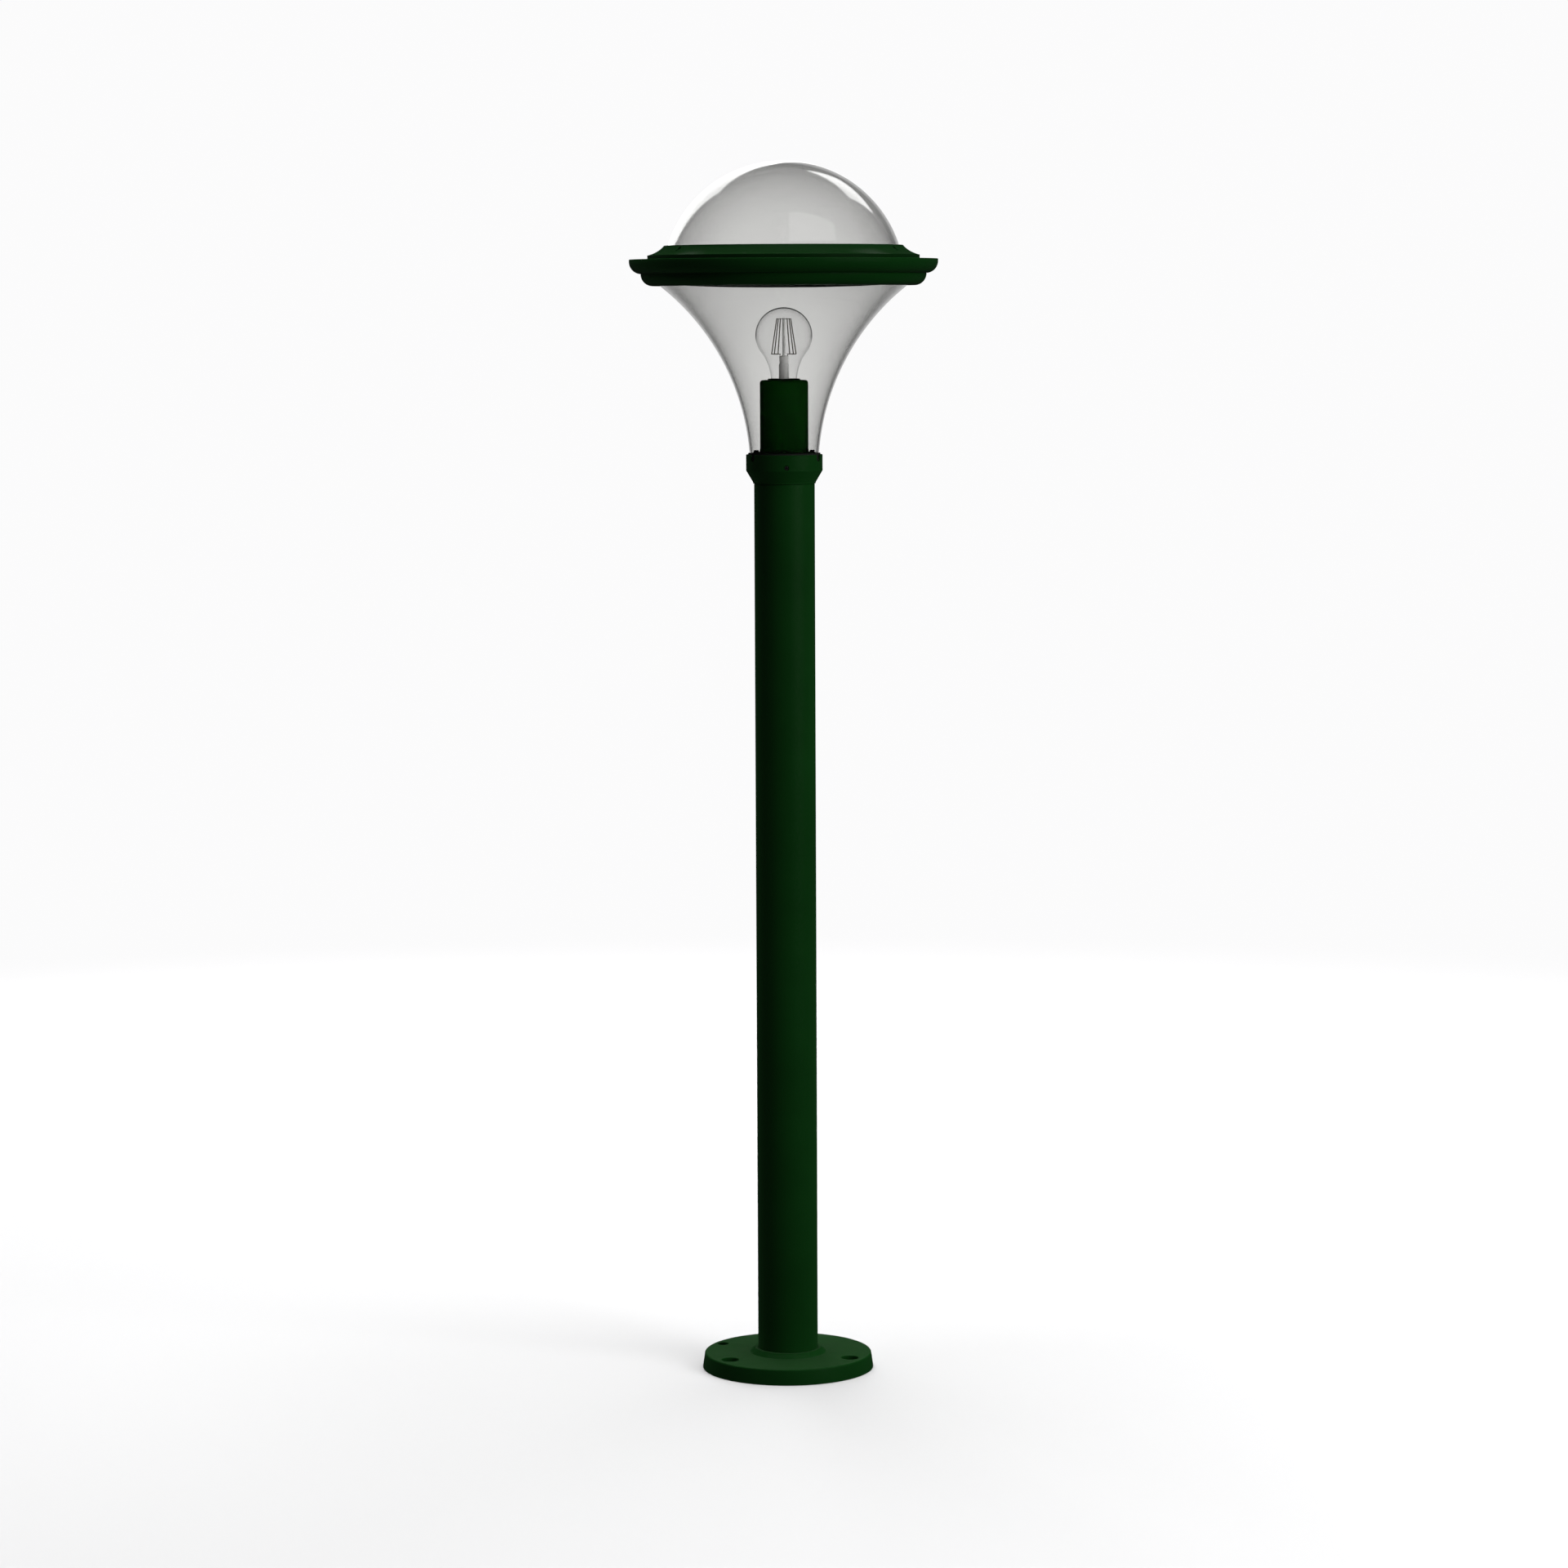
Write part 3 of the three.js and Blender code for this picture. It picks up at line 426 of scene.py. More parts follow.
def band(node_name, wall, inner_edge, outer_edge):
    """An outline as high as a CAD node and as wide outside, with its roundings below and above."""
    radius, bottom, top = reach(node_name)
    return softened([
        (radius - wall, bottom, inner_edge), (radius, bottom, inner_edge),
        (radius, top, outer_edge), (radius - wall, top, outer_edge),
    ])


black_rubber = moulding("black_rubber", (0.012, 0.013, 0.012), 1100.0, 0.7, 0.04,
                        Specular_IOR_Level=0.3)

neck_gasket = turned("neck_gasket_ring", band("neck_gasket", 0.8, 0.2, 0.35), sides=160)
finished(neck_gasket, black_rubber, "post", "rubber_black", "neck_gasket")

cord_radius = 0.8
ring_centre = reach("spigot_oring")[0] - cord_radius
ring_height = sum(reach("spigot_oring")[1:]) / 2
o_ring = turned("spigot_ring", arc(ring_centre, ring_height, cord_radius, 0, 345, 23),
                sides=120, crease=60)
finished(o_ring, black_rubber, "post", "rubber_black", "spigot_oring")

dome_seal = turned("dome_seal_ring", band("dome_seal", 4.1, 0.3, 0.3), sides=160)
finished(dome_seal, black_rubber, "head", "rubber_black", "dome_seal")

for name in ("cable_bush", "trumpet_seal"):
    dressed(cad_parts[name], black_rubber)

# Holder plate and cover. The plate closes the collar's cup and carries the lampholder; its register
# ring centres a thin drawn cover with a rolled top edge. Both wear the same green paint, but the
# cover's copy is darker and a purer green: painted shade for the little light that reaches it
# inside the glass.

plate_radius, plate_bottom, register_top = reach("holder_plate")
plate_face = plate_bottom + 2.8
stem_bore = 5.35
register_outside, register_inside = 21.4, 18.9
plate = turned("holder_plate_disc", softened([
    (stem_bore, plate_bottom, 0.2),
    (plate_radius, plate_bottom, 0.3),
    (plate_radius, plate_face, 0.5),
    (register_outside, plate_face, 0.3),
    (register_outside, register_top, 0.4),
    (register_inside, register_top, 0.4),
    (register_inside, plate_face, 0.3),
    (stem_bore, plate_face, 0.2),
]), sides=160)
finished(plate, cast_green, "post", "paint_green", "holder_plate")

# The cover's paint is the post's coat made darker and purer green as painted shade, with little
# sheen.
cover_green_painted_shade = tube_paint("cover_paint_painted_shade", (0.0008, 0.028, 0.001, 1), 0.5, 0.02)
cover_foot_radius, cover_bottom, cover_top = reach("holder_cover")
cover_radius = cover_foot_radius - 0.3
cover_wall = 2.0
cover_mouth = 16.3
cover = turned("holder_cover_tube", softened([
    (cover_radius - cover_wall, cover_bottom, 0.3),
    (cover_foot_radius, cover_bottom, 0.3),
    (cover_foot_radius, cover_bottom + 2.3, 0.5),
    (cover_radius, cover_bottom + 3.1, 0.5),
    (cover_radius, cover_top, 3.4),
    (cover_mouth, cover_top, 0.5),
    (cover_mouth, cover_top - cover_wall, 0.4),
    (cover_radius - cover_wall, cover_top - cover_wall, 1.6),
], steps=8), sides=160)
cover_screw_height = sum(reach("cover_screw")[1:]) / 2
drilled(cover, cross_holes(1.85, 20, cover_foot_radius, 0.2, [90], cover_screw_height))
finished(cover, cover_green_painted_shade, "post", "paint_green", "holder_cover")

# Lampholder. A dark moulded cup with a brass screw shell and a sprung centre contact, held to the
# plate by a plated hollow stem and two nuts. The stem also carries the two leads up to it.

dark_moulding = moulding("dark_moulding", (0.004, 0.012, 0.005), 500.0, 0.4, 0.01,
                         Specular_IOR_Level=0.3)

holder_radius, holder_bottom, holder_top = reach("holder_body")
holder_bore = holder_radius - 1.7
holder_floor = holder_bottom + 5.7
holder = turned("lampholder_cup", softened([
    (stem_bore, holder_bottom, 0.3),
    (holder_radius, holder_bottom, 1.2),
    (holder_radius, holder_top, 0.6),
    (holder_bore, holder_top, 0.6),
    (holder_bore, holder_floor, 0.6),
    (stem_bore, holder_floor, 0.3),
]), sides=120)
finished(holder, dark_moulding, "post", "phenolic_black", "holder_body")

# The bright metal of shells, stems, nuts and screws: fine turning rings round the piece's own axis,
# faint handling marks, and a slightly duller film in patches.
bright, bright_in = group("worked_metal", {
    "Colour": (0.6, 0.6, 0.6, 1), "Ring size": 1500.0, "Roughness": 0.3,
})
bright_place = node(bright, "ShaderNodeTexCoord").outputs["Object"]
turning = node(bright, "ShaderNodeTexWave", wave_type="BANDS", bands_direction="Z",
               Vector=bright_place, Scale=bright_in["Ring size"], Distortion=1.5, Detail=2.0)
film = noise(bright, 120.0, 4.0, 0.6)
dull = ramp(bright, film, 0.3, 0.7, 0.82, 1.1)
rubbed = ramp(bright, film, 0.3, 0.7, 1.25, 0.8)
node(bright, "NodeGroupOutput", Colour=scaled(bright, bright_in["Colour"], dull),
     Roughness=maths(bright, "MULTIPLY", rubbed, bright_in["Roughness"]),
     Height=turning.outputs["Fac"])


def metal(name, colour, roughness, metallic):
    """A material with the worked metal's skin."""
    return material(name, bright, {"Colour": (*colour, 1), "Roughness": roughness}, 0.01,
                    {"Metallic": metallic})


brass = metal("plain_brass", (0.6, 0.39, 0.13), 0.34, 0.75)
plated = metal("plated_steel", (0.6, 0.61, 0.6), 0.3, 0.7)
stainless = metal("stainless_steel", (0.2, 0.2, 0.2), 0.36, 1.0)


def rolled_shell(name, radius, wall, bottom, top, pitch, depth, closed_foot=None,
                 sides=96, rows=12):
    """A thin tube with a rolled round thread that is rows of faces to a turn and fades to plain
    at both ends. A closed foot adds a turned-in floor."""
    shape = bmesh.new()
    steps = int((top - bottom) / pitch * rows)

    def wall_ring(step, inwards):
        height = bottom + (top - bottom) * step / steps
        fade = min(1, step / rows, (steps - step) / rows)
        waves = [0.5 - 0.5 * math.cos(2 * math.pi * (height / pitch - i / sides))
                 for i in range(sides)]
        return ring_of(shape, [radius - inwards - depth * wave * fade for wave in waves], height)

    rings = [wall_ring(step, 0) for step in range(steps + 1)]
    rings += [wall_ring(step, wall) for step in range(steps, -1, -1)]
    if closed_foot:
        rings += [ring_of(shape, [closed_foot] * sides, height)
                  for height in (bottom + wall - 1.0, bottom - 1.0)]
    return skinned(name, shape, rings + rings[:1], 60)


shell_radius, shell_bottom, shell_top = reach("thread_shell")
sheet = 0.35
cap_pitch = 3.62
shell = rolled_shell("holder_screw_shell", shell_radius, sheet, shell_bottom, shell_top,
                     cap_pitch, 0.0)
finished(shell, brass, "post", "brass", "thread_shell")

stem_radius, stem_bottom, stem_top = reach("stem_nipple")
stem = rolled_shell("hollow_stem", stem_radius, 1.3, stem_bottom, stem_top, 1.0, 0.3, rows=8)
finished(stem, plated, "post", "steel_plated", "stem_nipple")

for name in ("nipple_nut_upper", "nipple_nut_lower", "terminal_tray", "terminal_screw_1",
             "terminal_screw_2", "bulb_tip"):
    dressed(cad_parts[name], plated)
for name in ("centre_contact", "earth_screw"):
    dressed(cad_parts[name], brass)

# Terminals and leads. A white nylon block on the plated tray in the post's top, and two short
# insulated leads that rise from it through the stem.

white_nylon = moulding("white_nylon", (0.68, 0.67, 0.62), 400.0, 0.5, 0.01,
                       Subsurface_Weight=0.1)
brown_wire = moulding("brown_insulation", (0.1, 0.035, 0.012), 900.0, 0.45, 0.01)
blue_wire = moulding("blue_insulation", (0.015, 0.08, 0.28), 900.0, 0.45, 0.01)
for name, plastic in {
    "terminal_block": white_nylon, "lead_live": brown_wire, "lead_neutral": blue_wire,
    "bulb_insulator": dark_moulding,
}.items():
    dressed(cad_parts[name], plastic)
    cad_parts[name].data.shade_smooth()
    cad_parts[name].data.set_sharp_from_angle(angle=math.radians(35))

# Screws. Stainless socket screws: headless ones bear on the trumpet's and the dome's necks and on
# the cover's register ring, and headed ones hold the collar, the plate and the crown.

def socket_screw(name, outline, socket, depth, sides=24):
    """A screw made pointing down the axis: an outline from point to rim, and a hexagon socket."""
    shape = bmesh.new()
    top = outline[-1][1]
    sixth = math.pi / 3
    angles = [2 * math.pi * i / sides for i in range(sides)]
    hexagon = [socket * math.cos(sixth / 2) / math.cos((a + sixth / 2) % sixth - sixth / 2)
               for a in angles]
    rings = [ring_of(shape, [0], outline[0][1])]
    rings += [ring_of(shape, [radius] * sides, height) for radius, height in outline]
    rings += [ring_of(shape, hexagon, top), ring_of(shape, hexagon, top - depth),
              ring_of(shape, [0], top - depth)]
    return skinned(name, shape, rings, 40)


def threaded(radius, bottom, top, pitch=0.6):
    """The outline of a screw's shank, with its thread drawn as plain ridges."""
    root = radius - 0.25
    outline = [(radius - 0.5, bottom), (root, bottom + 0.3)]
    height = bottom + 0.5
    while height + pitch < top:
        outline += [(root, height), (radius, height + pitch * 0.4), (radius, height + pitch * 0.6)]
        height += pitch
    return outline + [(root, height), (root, top)]


def grub_outline(radius, length):
    """A headless screw, from its point at nought up to its rim."""
    shank = threaded(radius, 0, length - 0.4)[:-1]
    return shank + [(radius, length - 0.35), (radius - 0.25, length)]


def pan_outline(radius, length, head, tall):
    """A screw with a rounded head that stands on nought, its length below it."""
    return threaded(radius, -length, -0.1) + [
        (radius, 0), (head - 0.15, 0), (head, 0.15), (head, tall * 0.55),
        (head * 0.93, tall * 0.82), (head * 0.72, tall),
    ]


# Copies of one piece round the axis, each turned to face outwards and then tilted, as a tree that
# the screws and the halves of the filament cage use.
copier = bpy.data.node_groups.new("copies_round_the_axis", "GeometryNodeTree")
copier.interface.new_socket("Geometry", in_out="OUTPUT", socket_type="NodeSocketGeometry")
copier_inputs = {}
for label, kind in (("Pattern", "Object"), ("Count", "Int"), ("First angle", "Float"),
                    ("Circle radius", "Float"), ("Height", "Float"), ("Tilt", "Float"),
                    ("Finish", "Material")):
    socket = copier.interface.new_socket(label, in_out="INPUT", socket_type=f"NodeSocket{kind}")
    copier_inputs[label] = socket.identifier
copier_in = node(copier, "NodeGroupInput").outputs
number = node(copier, "GeometryNodeInputIndex").outputs["Index"]
share = maths(copier, "DIVIDE", number, copier_in["Count"])
angle = maths(copier, "MULTIPLY_ADD", share, 2 * math.pi, copier_in["First angle"])
unit = node(copier, "ShaderNodeCombineXYZ", maths(copier, "COSINE", angle),
            maths(copier, "SINE", angle)).outputs["Vector"]
lift = node(copier, "ShaderNodeCombineXYZ", Z=copier_in["Height"]).outputs["Vector"]
spot = node(copier, "ShaderNodeVectorMath", scaled(copier, unit, copier_in["Circle radius"]), lift,
            operation="ADD").outputs["Vector"]
spots = node(copier, "GeometryNodePoints", Count=copier_in["Count"], Position=spot)
spin = node(copier, "ShaderNodeCombineXYZ", Y=copier_in["Tilt"], Z=angle).outputs["Vector"]
source = node(copier, "GeometryNodeObjectInfo", Object=copier_in["Pattern"])
copies = node(copier, "GeometryNodeInstanceOnPoints", Points=spots.outputs[0],
              Instance=source.outputs["Geometry"], Rotation=spin)
real = node(copier, "GeometryNodeRealizeInstances", copies.outputs[0])
coated = node(copier, "GeometryNodeSetMaterial", real.outputs[0], Material=copier_in["Finish"])
node(copier, "NodeGroupOutput", coated.outputs[0])


def copied(name, pattern, finish, count, first, circle=0.0, height=0.0, tilt=0.0):
    """Copies of a piece round the axis, in degrees and millimetres, made one plain mesh."""
    carrier = bpy.data.objects.new(name, bpy.data.meshes.new(name))
    bpy.context.scene.collection.objects.link(carrier)
    modifier = carrier.modifiers.new("copies", "NODES")
    modifier.node_group = copier
    for label, value in (
        ("Pattern", pattern), ("Count", count), ("First angle", math.radians(first)),
        ("Circle radius", circle / 1000), ("Height", height / 1000),
        ("Tilt", math.radians(tilt)), ("Finish", finish),
    ):
        modifier[copier_inputs[label]] = value
    return applied(carrier)


def screws(name, body, pattern, count, first, circle, height, tilt, *replaced):
    """Stainless screws round the axis, for the CAD nodes they replace."""
    piece = copied(name, pattern, stainless, count, first, circle, height, tilt)
    return finished(piece, stainless, body, "steel_stainless", *replaced)


outwards_tilt = 90
neck_grub = socket_screw("neck_grub", grub_outline(2.0, 3.4), 1.1, 1.6)
dome_grub = socket_screw("dome_grub", grub_outline(1.5, 4.7), 0.85, 1.4)
cover_grub = socket_screw("cover_grub", grub_outline(1.5, 4.4), 0.85, 1.4)
collar_pan = socket_screw("collar_pan", pan_outline(2.0, 6.4, 3.6, 2.0), 1.5, 1.1)
plate_pan = socket_screw("plate_pan", pan_outline(1.5, 10.8, 2.6, 1.8), 1.1, 1.0)
crown_head = 1.9
crown_pan = socket_screw("crown_pan", pan_outline(1.5, 9.0, 2.7, crown_head), 1.1, 1.0)
for i, turn in enumerate(one_in_front, 1):
    screws(f"neck_grub_{i}", f"neck_screw_{i}", neck_grub, 1, turn, 34.01, neck_screw_height,
           outwards_tilt, f"neck_screw_{i}")
dome_grub_height = sum(reach("dome_screw_1")[1:]) / 2
for i, turn in enumerate(one_behind, 1):
    screws(f"dome_grub_{i}", f"dome_screw_{i}", dome_grub, 1, turn, 113.5, dome_grub_height,
           outwards_tilt, f"dome_screw_{i}")
screws("cover_grub_back", "post", cover_grub, 1, 90, 19.2, cover_screw_height, outwards_tilt,
       "cover_screw")
for name, turn, replaced in (("collar_screws_back", 45, "collar_screw_right"),
                             ("collar_screws_back_left", 135, "collar_screw_left")):
    screws(name, "post", collar_pan, 1, turn, post_radius + 0.3, screw_height, outwards_tilt,
           replaced)
screws("plate_screws", "post", plate_pan, 2, 0, 27.68, plate_face + 0.3, 0,
       "plate_screw_left", "plate_screw_right")
crown_head_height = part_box("crown_screw_1")[1].z * 1000 - crown_head
crown_circle = -(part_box("crown_screw_3")[0].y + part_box("crown_screw_3")[1].y) * 500
screws("crown_screws", "head", crown_pan, 3, 30, crown_circle, crown_head_height, 0,
       "crown_screw_1", "crown_screw_2", "crown_screw_3")
for pattern in (neck_grub, dome_grub, cover_grub, collar_pan, plate_pan, crown_pan):
    bpy.data.objects.remove(pattern)

# Trumpet. One clear blow-moulded flare whose outside is a single circular arc, upright at the neck,
# with a rounded mouth. It stands in the collar's cup and carries the gallery ring on its mouth.

clear, clear_in = group("clear_skin", {
    "Colour": (0.9, 0.9, 0.9, 1), "Cloud size": 14.0, "Flow size": 22.0,
}, ("Colour", "Height"))
cloudy = noise(clear, clear_in["Cloud size"], 2.0, 0.5)
denser = ramp(clear, cloudy, 0.3, 0.7, 0.985, 1.015)
node(clear, "NodeGroupOutput", Colour=scaled(clear, clear_in["Colour"], denser),
     Height=noise(clear, clear_in["Flow size"], 1.0, 0.4))


def clear_plastic(name, tint, deepest):
    """Clear acrylic that looks deeper where it is seen at a slant, down to a share of its tint."""
    made = material(name, clear, {"Colour": tint}, 0.05, {
        "Transmission Weight": 1.0, "IOR": 1.45, "Roughness": 0.0,
    })
    tree = made.node_tree
    surface = next(n for n in tree.nodes if n.type == "GROUP")
    slant = node(tree, "ShaderNodeLayerWeight", Blend=0.5).outputs["Facing"]
    deeper = ramp(tree, slant, 0.06, 0.46, 1.0, deepest, "SMOOTHSTEP")
    tree.links.new(scaled(tree, surface.outputs["Colour"], deeper),
                   tree.nodes["Principled BSDF"].inputs["Base Color"])
    return made


clear_shade = clear_plastic("clear_shade", (0.845, 0.845, 0.835, 1), 0.9)

flare_centre = (265.16, 901.8)
flare_radius = 231.5
flare_height = 188.2
flare_wall = 2.0
flare_end = math.degrees(math.asin(flare_height / flare_radius))
flare_steps = 72


def on_flare(radius, degrees):
    """A point at a distance from the flare's arc centre, at an angle up from the neck."""
    a = math.radians(degrees)
    return flare_centre[0] - radius * math.cos(a), flare_centre[1] + radius * math.sin(a)


outer_wall = [on_flare(flare_radius, flare_end * i / flare_steps)
              for i in range(flare_steps + 1)]
inner_wall = [on_flare(flare_radius + flare_wall, flare_end * (flare_steps - i) / flare_steps)
              for i in range(flare_steps + 1)]
rim = [on_flare(flare_radius + flare_wall / 2 - math.cos(math.radians(a)),
                flare_end + 0.25 * math.sin(math.radians(a)))
       for a in range(20, 161, 20)]
trumpet = turned("trumpet_shade", outer_wall + rim + inner_wall, sides=200, crease=50)
finished(trumpet, clear_shade, "head", "shade_clear", "trumpet")

# Gallery ring. The lower of two cast rings: two convex mouldings one above the other, a flat ledge
# on top, and a rebate inside it that takes the crown. It hangs on the trumpet's mouth on a seal.

gallery_radius, gallery_bottom, gallery_top = reach("gallery_ring")
seat_radius = flare_radius - 2.1
seat_start = math.degrees(math.asin((gallery_bottom - flare_centre[1]) / seat_radius))
seat_end = flare_end + 1.2
lower_round = 11.75
upper_round = 12.0
lower_centre = gallery_radius - upper_round + 0.6 - lower_round
seat_top = on_flare(seat_radius, seat_end)
gallery_outline = [on_flare(seat_radius, seat_end + (seat_start - seat_end) * i / 8)
                   for i in range(9)]
gallery_outline += arc(lower_centre, gallery_bottom + lower_round, lower_round, -90, -4, 20)
gallery_outline += arc(lower_centre + lower_round - 0.5, gallery_top - 14.6, 0.5, 0, 60, 3)
gallery_outline += arc(gallery_radius - upper_round, gallery_top - 2.2, upper_round, -82, 0, 20)
gallery_outline += arc(gallery_radius - 0.6, gallery_top - 0.6, 0.6, 0, 90, 5)
ledge = gallery_radius - 9.2
rebate = gallery_top - 5.6
gallery_outline += [
    (gallery_radius - 9.0, gallery_top), (ledge, gallery_top - 0.2),
    (ledge, rebate), (seat_top[0], rebate),
]
gallery = turned("gallery_casting", gallery_outline, sides=240)
# The gallery's paint is the cast coat made darker and without dust, as painted shade on the ring.
gallery_green_painted_shade = cast_paint("gallery_paint_painted_shade", (0.0024, 0.027, 0.0034, 1), 0.4, 0.0)
finished(gallery, gallery_green_painted_shade, "head", "paint_green", "gallery_ring")

# Crown ring. The upper casting: a thin flange let into the gallery, a short upright edge and a
# hollow cove rising to the dome's socket. Three recessed screws hold it, and three grub screws hold
# the dome.

crown_flange_radius, crown_bottom, crown_top = reach("crown_ring")
edge_radius = gallery_radius - 18.1
cove_height = 9.6
cove_bottom = crown_top - cove_height
socket_radius = reach("dome")[0] + 1.4
cove_top_radius = socket_radius + 3.2
bend = (cove_top_radius + (edge_radius - cove_top_radius) * 0.35, cove_bottom + cove_height * 0.28)
cove = []
for i in range(1, 21):
    t = i / 20
    cove.append(tuple(
        low * (1 - t) ** 2 + mid * 2 * t * (1 - t) + high * t ** 2
        for low, mid, high in zip((edge_radius, cove_bottom), bend,
                                  (cove_top_radius, crown_top - 0.3))))
skirt_outer = seat_top[0] - 0.3
flange_bottom = crown_bottom + 10.8
seal_seat = crown_top - 14.1
crown_outline = softened([
    (skirt_outer - 5.4, crown_bottom, 0.4),
    (skirt_outer, crown_bottom, 0.4),
    (skirt_outer, flange_bottom, 0.2),
    (crown_flange_radius, flange_bottom, 0.3),
    (crown_flange_radius, gallery_top, 0.3),
    (edge_radius, gallery_top, 0.3),
], steps=3)
crown_outline += arc(edge_radius - 0.4, cove_bottom - 0.2, 0.4, 0, 60, 4) + cove
crown_outline += [
    (cove_top_radius - 0.3, crown_top), (socket_radius + 0.3, crown_top),
    (socket_radius, crown_top - 0.3), (socket_radius, seal_seat),
    (socket_radius - 5.1, seal_seat), (socket_radius - 5.1, crown_top - 16.8),
]
crown = turned("crown_casting", crown_outline, sides=240)
dome_screw_height = crown_top - 3.5
counterbores = [placed(drill(3.05, gallery_top - 2.4, gallery_top, 0.3), turn, crown_circle)
                for turn in one_in_front]
drilled(crown, counterbores
        + cross_holes(1.85, 112, 122.5, 0.0, one_behind, dome_screw_height))
# The crown's paint is the cast coat at about half its colour, with little dust: painted shade on
# its forward-facing cove.
crown_green_painted_shade = cast_paint("crown_paint_painted_shade", (0.0013, 0.014, 0.0018, 1), 0.4, 0.02)
finished(crown, crown_green_painted_shade, "head", "paint_green", "crown_ring")

# Dome. A clear moulded cap, a little less than half a ball, on a short straight neck that drops
# into the crown onto its seal.

dome_neck, dome_bottom, dome_top = reach("dome")
dome_rise = 81.0
dome_wall = 3.0
dome_inside = dome_neck - dome_wall
dome_radius = (dome_neck ** 2 + dome_rise ** 2) / (2 * dome_rise)
dome_centre = dome_top - dome_radius
springing = math.degrees(math.acos(dome_neck / dome_radius))
inner_springing = math.degrees(math.acos(dome_inside / (dome_radius - dome_wall)))
near_pole = 89.2
dome_outline = [(dome_inside, dome_bottom), (dome_neck, dome_bottom)]
dome_outline += arc(0, dome_centre, dome_radius, springing, near_pole, 60)
dome_outline += [(0, dome_top), (0, dome_top - dome_wall)]
dome_outline += arc(0, dome_centre, dome_radius - dome_wall, near_pole, inner_springing, 60)
dome = turned("dome_shade", dome_outline, sides=200, crease=50)
clear_dome = clear_plastic("clear_dome", (0.828, 0.828, 0.818, 1), 0.85)
finished(dome, clear_dome, "dome", "shade_clear", "dome")

# Bulb. A clear blown globe on a plated screw cap, with a white glass stem inside. Round it stands a
# cage in two halves, each with three straight filaments that lean in from a curved wire to a hub.

cap_radius, cap_bottom, cap_top = reach("bulb_cap")
cap = rolled_shell("bulb_screw_cap", cap_radius, sheet, cap_bottom + 1.0, cap_top, cap_pitch, 0.55,
                   closed_foot=7.0)
finished(cap, plated, "bulb", "steel_plated", "bulb_cap")

blown = material("blown_glass", clear, {"Colour": (0.98, 0.98, 0.98, 1), "Flow size": 40.0}, 0.0, {
    "Transmission Weight": 1.0, "IOR": 1.22, "Roughness": 0.0,
})

globe_radius = 28.0
globe_centre = reach("bulb_globe")[2] - globe_radius
glass = 0.3


def globe_wall(inset, sink):
    """The globe's profile from neck to axis, drawn in by the glass and sunk at its crown."""
    radius = globe_radius - inset
    middle = globe_centre - sink
    ball = arc(0, middle, radius, -38, 88.5, 44)
    neck = (12.3 - inset, cap_top + 2.0)
    first = (12.9 - inset, cap_top + 13.0)
    second = (ball[0][0] - 6.2, ball[0][1] - 8.0)
    outline = [(12.3 - inset, cap_top - 5.0)]
    for i in range(18):
        t = i / 18
        outline.append(tuple(
            a * (1 - t) ** 3 + b * 3 * t * (1 - t) ** 2 + c * 3 * t ** 2 * (1 - t) + d * t ** 3
            for a, b, c, d in zip(neck, first, second, ball[0])))
    return outline + ball + [(0, middle + radius)]


globe = turned("bulb_globe_glass", globe_wall(0, 0) + globe_wall(glass, 0.4)[::-1],
               sides=120, crease=60)
finished(globe, blown, "bulb", "bulb_glass", "bulb_globe")

stem_glass = moulding("stem_glass", (0.8, 0.8, 0.79), 60.0, 0.3, 0.0, Specular_IOR_Level=0.4)
stem_low = reach("bulb_stem")[1]
cage_top = reach("filament_cage")[2] - 0.5
cage_bottom = cage_top - 35.2
pinch = cage_bottom - 2.0
bulb_stem = turned("bulb_stem_glass", softened([
    (0, stem_low, 0),
    (5.0, stem_low, 0.3),
    (5.0, pinch - 9.0, 0.5),
    (4.2, pinch - 6.5, 0.5),
    (4.5, pinch - 5.0, 0.5),
    (4.5, pinch, 0.8),
    (1.4, pinch + 0.6, 0.3),
    (1.4, cage_top + 0.6, 0.3),
    (0, cage_top + 0.9, 0),
]), sides=48)
finished(bulb_stem, stem_glass, "bulb", "bulb_glass", "bulb_stem")

filament_coat = moulding("filament_coat", (0.16, 0.15, 0.12), 800.0, 0.6, 0.0)


def tube_between(shape, low, high, radius, sides=10):
    """Adds a round rod between two points to a bmesh."""
    low, high = Vector(low), Vector(high)
    turn = (high - low).to_track_quat("Z", "Y").to_matrix().to_4x4()
    place = Matrix.Translation((low + high) / 2) @ turn
    bmesh.ops.create_cone(shape, cap_ends=True, segments=sides, radius1=radius, radius2=radius,
                          depth=(high - low).length, matrix=place)


def off_axis(radius, degrees, height):
    """A point at a distance from the axis, at an angle round it."""
    a = math.radians(degrees)
    return radius * math.cos(a), radius * math.sin(a), height


half = bmesh.new()
wire_circle = 12.2
for degrees in (-51, 0, 51):
    tube_between(half, off_axis(12.3, degrees, cage_bottom - 0.3),
                 off_axis(6.95, degrees, cage_top + 0.3), 0.55)
    tube_between(half, off_axis(7.0, degrees, cage_top), off_axis(1.3, degrees, cage_top), 0.3)
for start in range(-65, 65, 10):
    tube_between(half, off_axis(wire_circle, start, cage_bottom),
                 off_axis(wire_circle, start + 10, cage_bottom), 0.4, 8)
tube_between(half, (wire_circle, 0, cage_bottom), (3.6, 0, cage_bottom), 0.35, 8)
tube_between(half, (3.9, 0, cage_bottom + 0.1), (3.9, 0, cage_bottom - 1.8), 0.35, 8)
half_cage = piece_of("half_cage", half, 50)
cage = copied("filament_cage_wires", half_cage, filament_coat, 2, 7.7)
bpy.data.objects.remove(half_cage)
finished(cage, filament_coat, "bulb", "filament_yellow", "filament_cage")

# Studio. A pale floor that fades into a white surround, a large soft light overhead, a tall one to
# the right and a small one behind, and a long lens level with the lamp's head.

